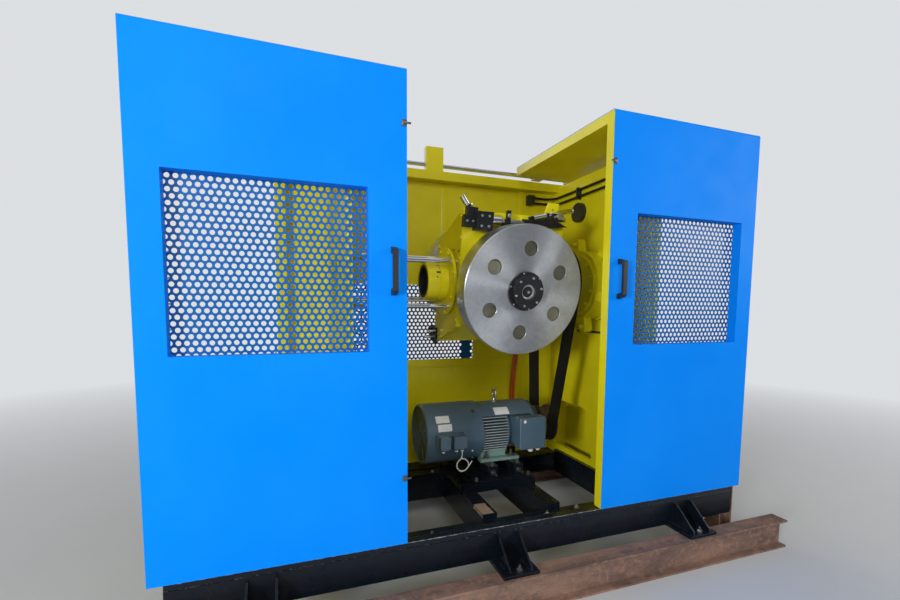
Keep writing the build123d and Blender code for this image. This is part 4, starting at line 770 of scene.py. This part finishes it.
def wall_details():
    """The rear window's rivets and ledge, two seams, the right bulkhead's bolts and the cover of its arch."""
    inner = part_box("rear_wall")[1].y - 0.004
    left, bottom, right, top = -0.662, 1.017, 0.233, 1.523
    rim, pitch, ledge_top = 0.032, 0.023, 1.014
    rivets = Mesh()
    for x, z in edge_row(left - rim, bottom - rim, right + rim, top + rim, pitch):
        if z > ledge_top:
            rivets.head(at(x, inner, z, "-Y"), *WINDOW_RIVET, 8)
    rivets.done("rear_window_rivets", "frame", "steel", "zinc")
    strips = Mesh()
    for x, z, wide, thick, high, bevel in (
            (-0.066, 0.987, 1.242, 0.009, 0.052, 0.0015), (0.015, 1.87, 0.05, 0.0024, 0.6, 0.0008),
            (0.6, 1.4, 0.05, 0.0024, 1.6, 0.0008)):
        strips.box(at(x, inner - thick / 2, z), (wide, thick, high), bevel)
    strips.done("rear_wall_strips", "frame", "yellow_paint")
    bulkhead_face = 0.865
    bolts = Mesh()
    for y, z in ((-0.4, 0.36), (-0.4, 0.9), (-0.4, 1.5), (-0.4, 2.1), (0.44, 0.75), (0.44, 2.0)):
        bolts.bolt(at(bulkhead_face, y, z, "-X"), *WALL_BOLT)
    bolts.done("wall_bolts", "frame", "yellow_paint")
    x, y, z = 0.939, 0.228, 0.535
    wide, deep, high, wall, bevel, lap = 0.098, 0.496, 0.46, 0.003, 0.0006, 0.001
    shell = Mesh()
    shell.box(at(x + (wide + wall) / 2 - lap, y, z), (wall, deep, high), bevel)
    shell.box(at(x, y, z + (high - wall) / 2), (wide, deep, wall), bevel)
    for way in (-1.0, 1.0):
        shell.box(at(x, y + way * (deep - wall) / 2, z), (wide, wall, high), bevel)
    shell.done("arch_shell", "frame", "yellow_paint")


def housing_details():
    """Bolts in the housing's lugs, a ring of screws on its face and the latch rod's knob."""
    lug_ring, screw_ring = 0.262, 0.165
    bolts = Mesh()
    for where in ring(at(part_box("housing_lugs")[0].x, AXIS_Y, AXIS_Z, "-X"), lug_ring, 6, 10.0):
        bolts.bolt(where, *LUG_BOLT)
    for where in ring(at(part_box("bearing_housing")[0].x, AXIS_Y, AXIS_Z, "-X"), screw_ring, 12, 15.0):
        bolts.cap_screw(where, *HOUSING_SCREW)
    bolts.done("housing_bolts", "frame", "yellow_paint")
    ball, ball_middle, steps = 0.0165, 0.014, 10
    angles = [pi * i / steps for i in range(steps + 1)]
    outline = [(ball * sin(angle), ball_middle - ball * cos(angle)) for angle in angles]
    knob = Mesh()
    knob.lathe(at(0.84, -0.2, 1.222, "-Y"), outline, 24)
    knob.done("latch_rod_knob", "frame", "black_plastic")


def head_screws():
    """Screws of the head's end plate, nose flange and side plates, and dark discs that paint the shade in two
    holes of the end plate.
    """
    plate_x, plate_y, first, pitch = -0.138, 0.172, -0.185, 0.108
    flange_x, flange_ring = -0.166, 0.172
    screws = Mesh()
    for side in (-1.0, 1.0):
        for index in range(6):
            z = side * (first + pitch * index)
            screws.cap_screw(HEAD @ at(plate_x, -side * plate_y, z, "-X"), *PLATE_SCREW)
    for index in range(8):
        angle = radians(22.5 + 45.0 * index)
        y, z = flange_ring * cos(angle), flange_ring * sin(angle)
        screws.cap_screw(HEAD @ at(flange_x, y, z, "-X"), *NOSE_SCREW)
    side_face, high_row, low_row = 0.182, 0.36, -0.19
    for side, faces in ((-1.0, "-Y"), (1.0, "Y")):
        for x in (-0.09, 0.05, 0.2, 0.34, 0.41):
            for z in (high_row, low_row) if x > 0.0 else (low_row,):
                screws.cap_screw(HEAD @ at(x, side * side_face, -side * z, faces), *PLATE_SCREW)
    screws.done("head_screws", "head", "yellow_paint")
    # Dark discs where two holes are in the end plate: painted shade in place of the holes' unlit insides.
    holes = Mesh()
    for y, z in ((-0.08, 1.682), (-0.1565, 1.668)):
        holes.rod(at(plate_x + 0.001, y, z, "-X"), 0.0075, 0.0024, 14, 0.0004)
    holes.done("head_hole_shades", "head", "black_steel", "shade_and_screw_black")


def nose_details():
    """Two dark strips that paint the upper rod's shadow on the nose tube, a set screw in it, and a dark
    sleeve that paints the shade inside its bore.
    """
    slots = Mesh()
    # The two flat strips are painted shadow: the shadow that the upper chrome rod casts on the tube. The
    # small round one is a real set screw.
    for turn, wide in ((56.0, 0.011), (30.0, 0.004)):
        slots.box(HEAD @ turned(turn) @ at(-0.204, 0.0, 0.1052), (0.058, wide, 0.0012), 0.0005)
    slots.rod(HEAD @ turned(71.0) @ at(-0.232, 0.0, 0.1046), 0.0042, 0.0014, 14, 0.0003)
    slots.done("nose_rod_shadow_and_screw", "head", "black_steel", "shade_and_screw_black")
    # A dark sleeve inside the bore: painted shade, darkening the bore where little light reaches.
    bore_shade = Mesh()
    bore_shade.pipe(HEAD @ at(-0.282, 0.0, 0.0, "X"), 0.0785, 0.0905, 0.0, 0.19, 64)
    bore_shade.done("nose_bore_shade", "head", "black_plastic")


def guide_gear_details():
    """Screws, chrome sleeves and rollers, and the stop's disc and nut on the upper guide gear."""
    block_face, slide_face, arm_face = -0.245, -0.225, -0.231
    screws = Mesh()
    for x, z in ((-0.06, 0.31), (-0.06, 0.36), (-0.02, 0.31), (-0.02, 0.36)):
        screws.cap_screw(HEAD @ at(x, block_face, z, "-Y"), *BLOCK_SCREW)
    for x in (-0.132, -0.1):
        screws.cap_screw(HEAD @ at(x, slide_face, 0.331, "-Y"), *SMALL_SCREW)
    screws.bolt(HEAD @ at(-0.102, -0.204, 0.4), *GEAR_STUD)
    screws.bolt(HEAD @ at(0.1025, -0.2255, 0.372, "-Y"), *SMALL_BOLT)
    screws.cap_screw(HEAD @ at(0.37, arm_face, 0.3835, "-Y"), *SMALL_SCREW)
    screws.done("guide_gear_screws", "head", "black_steel", "zinc")
    row = HEAD @ at(0.0, -0.215, 0.34)
    arm = HEAD @ at(0.234, -0.215, 0.366) @ turned(-13.5, "Y")
    tip = HEAD @ at(-0.112, -0.192, 0.398) @ turned(-129.0, "Y")
    bars = Mesh()
    for base, start, radius, length, sides, edge in (
            (row, 0.0055, 0.0236, 0.054, 32, 0.002), (row, 0.0605, 0.0136, 0.0165, 24, 0.001),
            (row, 0.1115, 0.0136, 0.0755, 24, 0.001), (arm, 0.015, 0.0122, 0.078, 24, 0.0015),
            (arm, 0.11, 0.0122, 0.146, 24, 0.0015), (arm, 0.252, 0.0142, 0.007, 24, 0.0012),
            (tip, 0.0165, 0.0162, 0.05, 24, 0.0018), (tip, 0.0625, 0.0175, 0.0065, 24, 0.0015)):
        bars.rod(base @ at(start, 0.0, 0.0, "X"), radius, length, sides, edge)
    bars.done("guide_gear_bars", "head", "chrome")
    disc = Mesh()
    disc.rod(HEAD @ at(0.4, -0.2315, 0.3895, "-Y"), 0.02, 0.004, 28, 0.0008)
    disc.done("guide_gear_disc", "head", "steel", "zinc")
    nut = Mesh()
    nut.bolt(HEAD @ at(0.424, arm_face, 0.3725, "-Y"), *GEAR_NUT)
    nut.done("guide_gear_nut", "head", "steel", "zinc")


def pad_details():
    """Both pads' hub screws with a bright ring that paints the highlight in the hub's recess, the disc behind
    the cover's holes in a darker tone for painted shade, the holes' rims and the cover's screws.
    """
    hub_y, flange_y, cover_y, web_y = 0.418, 0.392, 0.38, 0.3645
    hub_sunk, hole_ring, hole_start, screw_ring = 0.0118, 0.215, 87.3, 0.322
    lit_ring = [(0.027, 0.0), (0.0372, 0.0), (0.0372, 0.0035), (0.0315, 0.0035), (0.027, 0.001)]
    rim = [(0.0385, -0.001), (0.0402, -0.001), (0.0402, 0.0004), (0.0392, 0.0006), (0.0385, 0.0)]
    flat_screw = [(0.0, 0.0), (0.0042, 0.0), (0.0038, 0.0008), (0.0016, 0.0008), (0.0, 0.0003)]
    for side, way, faces in (("front", -1.0, "-Y"), ("rear", 1.0, "Y")):
        body = f"{side}_pad"
        hub, flange, cover, behind = (HEAD @ at(PAD_X, way * y, 0.0, faces)
                                      for y in (hub_y, flange_y, cover_y, web_y))
        bolts = Mesh()
        for where in ring(hub, 0.072, 6, 15.0):
            bolts.cap_screw(where, *HUB_SCREW)
        for where in ring(flange, 0.0935, 6, 45.0):
            bolts.cap_screw(where, *HUB_RIM_SCREW)
        bolts.head(hub, *HUB_BUTTON, 16)
        # A bright zinc ring in the hub's recess: a painted highlight that stands in for the recess's lit
        # inner wall.
        bolts.lathe(hub @ at(0.0, 0.0, -hub_sunk), lit_ring, 40)
        bolts.done(f"{side}_hub_bolts", body, "steel", "zinc")
        # The disc behind the cover's holes, in the darker look that paints its shade.
        web = Mesh()
        web.pipe(behind, 0.105, 0.32, 0.0, 0.004, 96)
        web.done(f"{side}_shaded_pad_web", body, "aluminium", "shaded_pad_web")
        rims = Mesh()
        for where in ring(cover, hole_ring, 6, hole_start):
            rims.lathe(where, rim, 36)
        rims.done(f"{side}_hole_rims", body, "aluminium", "zinc")
        screws = Mesh()
        for where in ring(cover, screw_ring, 12, 12.0):
            screws.lathe(where, flat_screw, 12)
        screws.done(f"{side}_disc_screws", body, "aluminium", "zinc")


def motor_plate(mesh, x, wide, low, high, radius):
    """A thin plate that follows the motor's round side at the front, between two heights."""
    sunk, thick, steps = 0.0004, 0.0008, 8
    rings = []
    for index in range(steps + 1):
        rise = (low + (high - low) * index / steps - MOTOR_Z) / radius
        lean = sqrt(1.0 - rise * rise)
        inner, outer = radius - sunk, radius + thick
        rings.append([(x + side * wide / 2, MOTOR_Y - reach * lean, MOTOR_Z + reach * rise)
                      for side, reach in ((-1.0, inner), (1.0, inner), (1.0, outer), (-1.0, outer))])
    mesh.loft(rings)


def motor_details():
    """The cowl's grille, the labels, the lifting eye, pale strips that paint a highlight on the fins' edges,
    and the motor's screws.
    """
    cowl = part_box("motor_cowl")[0].x
    wire, wire_pitch, wire_start = 0.0016, 0.0175, 0.018
    back = Mesh()
    back.disc(at(cowl + 0.0135, MOTOR_Y, MOTOR_Z, "-X"), 0.1625, 0.0, 0.0012, 48)
    back.done("cowl_grille_back", "frame", "motor_grey", "grille_grey")
    wires = Mesh()
    for index in range(9):
        radius = wire_start + wire_pitch * index
        wires.pipe(at(cowl + 0.007, MOTOR_Y, MOTOR_Z, "-X"), radius - wire, radius + wire, -wire, wire, 48)
    for index in range(8):
        wires.box(at(cowl + 0.0095, MOTOR_Y, MOTOR_Z) @ turned(22.5 + 45.0 * index) @ at(0.0, 0.0, 0.09),
                  (0.003, 0.005, 0.148), 0.0008)
    wires.done("cowl_grille", "frame", "motor_grey")

    cowl_side, frame_side = 0.175, 0.1662
    labels = Mesh()
    motor_plate(labels, -0.181, 0.08, 0.721, 0.755, cowl_side)
    motor_plate(labels, -0.173, 0.082, 0.677, 0.714, cowl_side)
    labels.done("cowl_labels", "frame", "motor_grey", "bare_white")
    plate = Mesh()
    motor_plate(plate, 0.201, 0.094, 0.738, 0.772, frame_side)
    plate.done("name_plate", "frame", "aluminium", "bare_white")

    eye_x, eye_rise, eye_radius, thick, steps = 0.2025, 0.049, 0.0255, 0.0075, 36
    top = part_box("motor_frame")[1].z
    eye = Mesh()
    eye.lathe(at(eye_x, MOTOR_Y, top - 0.004), [(0.0, 0.0), (0.021, 0.0), (0.021, 0.008), (0.014, 0.013),
                                                (0.011, 0.03), (0.0, 0.03)], 24)
    angles = [2 * pi * i / steps - pi / 2 for i in range(steps + 1)]
    eye.tube([Vector((eye_x, MOTOR_Y + eye_radius * cos(a), top + eye_rise + eye_radius * sin(a)))
              for a in angles], thick, 14)
    eye.done("lifting_eye", "frame", "steel", "zinc")

    # Pale strips on the fins' front edges: a painted highlight where the edges catch light, partly paint worn
    # bare there.
    fins, fin_pitch, fin_radius = 13, 0.016, 0.166
    edges = Mesh()
    for row in range(fins):
        rise = (row - fins // 2) * fin_pitch
        edges.box(at(0.1445, MOTOR_Y - sqrt(fin_radius ** 2 - rise ** 2) - 0.0004, MOTOR_Z + rise),
                  (0.162, 0.0022, 0.0052), 0.0006)
    edges.done("fin_edges", "frame", "motor_grey", "lit_fin_edge")

    cover_screws = Mesh()
    for x, z in four_corners(BOX_LOW.x, BOX_HIGH.x, BOX_LOW.z, BOX_HIGH.z, 0.014):
        cover_screws.cap_screw(at(x, BOX_LOW.y, z, "-Y"), *COVER_SCREW)
    cover_screws.done("terminal_screws", "frame", "motor_grey")
    screws = Mesh()
    for where in ring(at(0.421, MOTOR_Y, MOTOR_Z, "X"), 0.147, 8, 22.5):
        screws.bolt(where, *SMALL_BOLT)
    for where in ring(at(0.483, MOTOR_Y, MOTOR_Z, "X"), 0.062, 4, 45.0):
        screws.bolt(where, *BELL_CAP_BOLT)
    for turn in (38.0, 142.0, 218.0, 322.0):
        screws.bolt(at(0.0145, MOTOR_Y, MOTOR_Z) @ turned(turn) @ at(0.0, 0.0, cowl_side), *COWL_BOLT)
    for left, right, front, bottom in JUNCTIONS:
        for x, z in four_corners(left, right, bottom, JUNCTION_TOP, 0.008):
            screws.cap_screw(at(x, front, z, "-Y"), *LID_SCREW)
    screws.done("motor_screws", "frame", "steel", "dull_steel")


def motor_box_details():
    """Gaskets under the lids of the three boxes, and their glands."""
    lids = [(left, right, bottom, JUNCTION_TOP, front + 0.014, 0.0016, 0.002, 0.0005)
            for left, right, front, bottom in JUNCTIONS]
    lids.insert(0, (BOX_LOW.x, BOX_HIGH.x, BOX_LOW.z, BOX_HIGH.z, BOX_LOW.y + 0.0105, 0.0022, 0.003, 0.0008))
    gaskets = Mesh()
    for left, right, bottom, top, y, thick, proud, bevel in lids:
        gaskets.box(at((left + right) / 2, y, (bottom + top) / 2),
                    (right - left + proud, thick, top - bottom + proud), bevel)
    gaskets.done("box_gaskets", "frame", "black_plastic")
    glands = Mesh()
    for x in (-0.205, -0.127, -0.093):
        glands.lathe(at(x, GLAND_Y, 0.5752), [(0.0032, 0.0), (0.0078, 0.0), (0.0098, 0.003), (0.0098, 0.0075),
                                              (0.0091, 0.0075), (0.0091, 0.0), (0.0032, 0.0)], 20)
    glands.plug(at(-0.002, -0.0435, 0.546, "-Y"), 0.006, 0.004, 0.0045, 0.0065, 18)
    glands.done("gland_rings", "frame", "motor_grey", "bare_white")
    gland_y = BOX_LOW.y + 0.03
    terminal = Mesh()
    terminal.rod(at(0.281, BOX_LOW.y, 0.7185, "-Y"), 0.0095, 0.0012, 20, 0.0003)
    terminal.plug(at(0.336, gland_y, BOX_LOW.z, "-Z"), 0.017, 0.012, 0.013, 0.02, 24)
    terminal.plug(at(0.385, gland_y, BOX_LOW.z, "-Z"), 0.013, 0.01, 0.01, 0.017, 24)
    terminal.done("terminal_glands", "frame", "motor_grey", "bare_white")


def motor_base_details():
    """Bolts of the motor's feet, of the plate and slide rails under them, and the two that push the plate."""
    bolts = Mesh()
    for xs, ys, z, size in ((MOTOR_FOOT_XS, (MOTOR_Y - 0.134, MOTOR_Y + 0.134), 0.487, MOTOR_FOOT_BOLT),
                            (MOTOR_FOOT_XS, (-0.112, 0.328), 0.469, MOTOR_PLATE_BOLT),
                            ((-0.006, 0.327), (-0.118, 0.332), 0.395, SLIDE_RAIL_BOLT)):
        for x in xs:
            for y in ys:
                bolts.bolt(at(x, y, z), *size)
    for x in MOTOR_FOOT_XS:
        bolts.bolt(at(x, MOTOR_Y - 0.235, 0.432, "-Y"), *PUSH_BOLT)
    bolts.done("motor_base_bolts", "frame", "steel", "dull_steel")


def base_details():
    """Foot bolts, the cross members' end caps, loose bolts, the track's screws and the feet's weld beads."""
    bolt_y, foot_top = 0.655, 0.175
    bolts = Mesh()
    for x in FOOT_XS:
        for way in (-1.0, 1.0):
            bolts.bolt(at(x, way * bolt_y, foot_top), *FOOT_BOLT)
    bolts.done("foot_bolts", "frame", "steel", "dull_steel")
    caps = Mesh()
    for x in (-0.05, 0.321):
        caps.box(at(x, -0.3975, 0.3195), (0.079, 0.005, 0.029), 0.0006)
    caps.done("cross_member_caps", "frame", "black_paint")
    rail_top, track_screws, first, pitch = 0.305, 13, -1.38, 0.23
    loose = Mesh()
    loose.bolt(at(-0.154, 0.245, 0.335), *SMALL_LOOSE_BOLT)
    for x, y in ((-0.3775, -0.465), (0.251, -0.45), (0.4466, -0.43)):
        loose.bolt(at(x, y, rail_top), *LOOSE_BOLT)
    for index in range(track_screws):
        loose.cap_screw(at(first + pitch * index, TRACK_HIGH.y + 0.009, rail_top), *SMALL_SCREW)
    loose.done("base_bolts", "frame", "steel", "zinc")
    foot_side, plate_face, start, pitch, count = 0.055, 0.005, 0.537, 0.009, 12
    bead, wave = 0.0035, 0.0008
    welds = Mesh()
    for x in FOOT_XS:
        for way in (-1.0, 1.0):
            for side in (-foot_side, foot_side):
                for face in (-plate_face, plate_face):
                    welds.tube([Vector((x + side + face, way * (start + pitch * i),
                                        foot_top + 0.0015 + wave * (i % 2))) for i in range(count)], bead, 8)
    welds.done("foot_welds", "frame", "black_paint")


bpy.context.scene.view_settings.view_transform = "Standard"
for build in (floor, sky, lamps, camera, blower_lead, dress_nodes, screens, hoods, wall_details,
              housing_details, head_screws, nose_details, guide_gear_details, pad_details, motor_details,
              motor_box_details, motor_base_details, base_details):
    build()
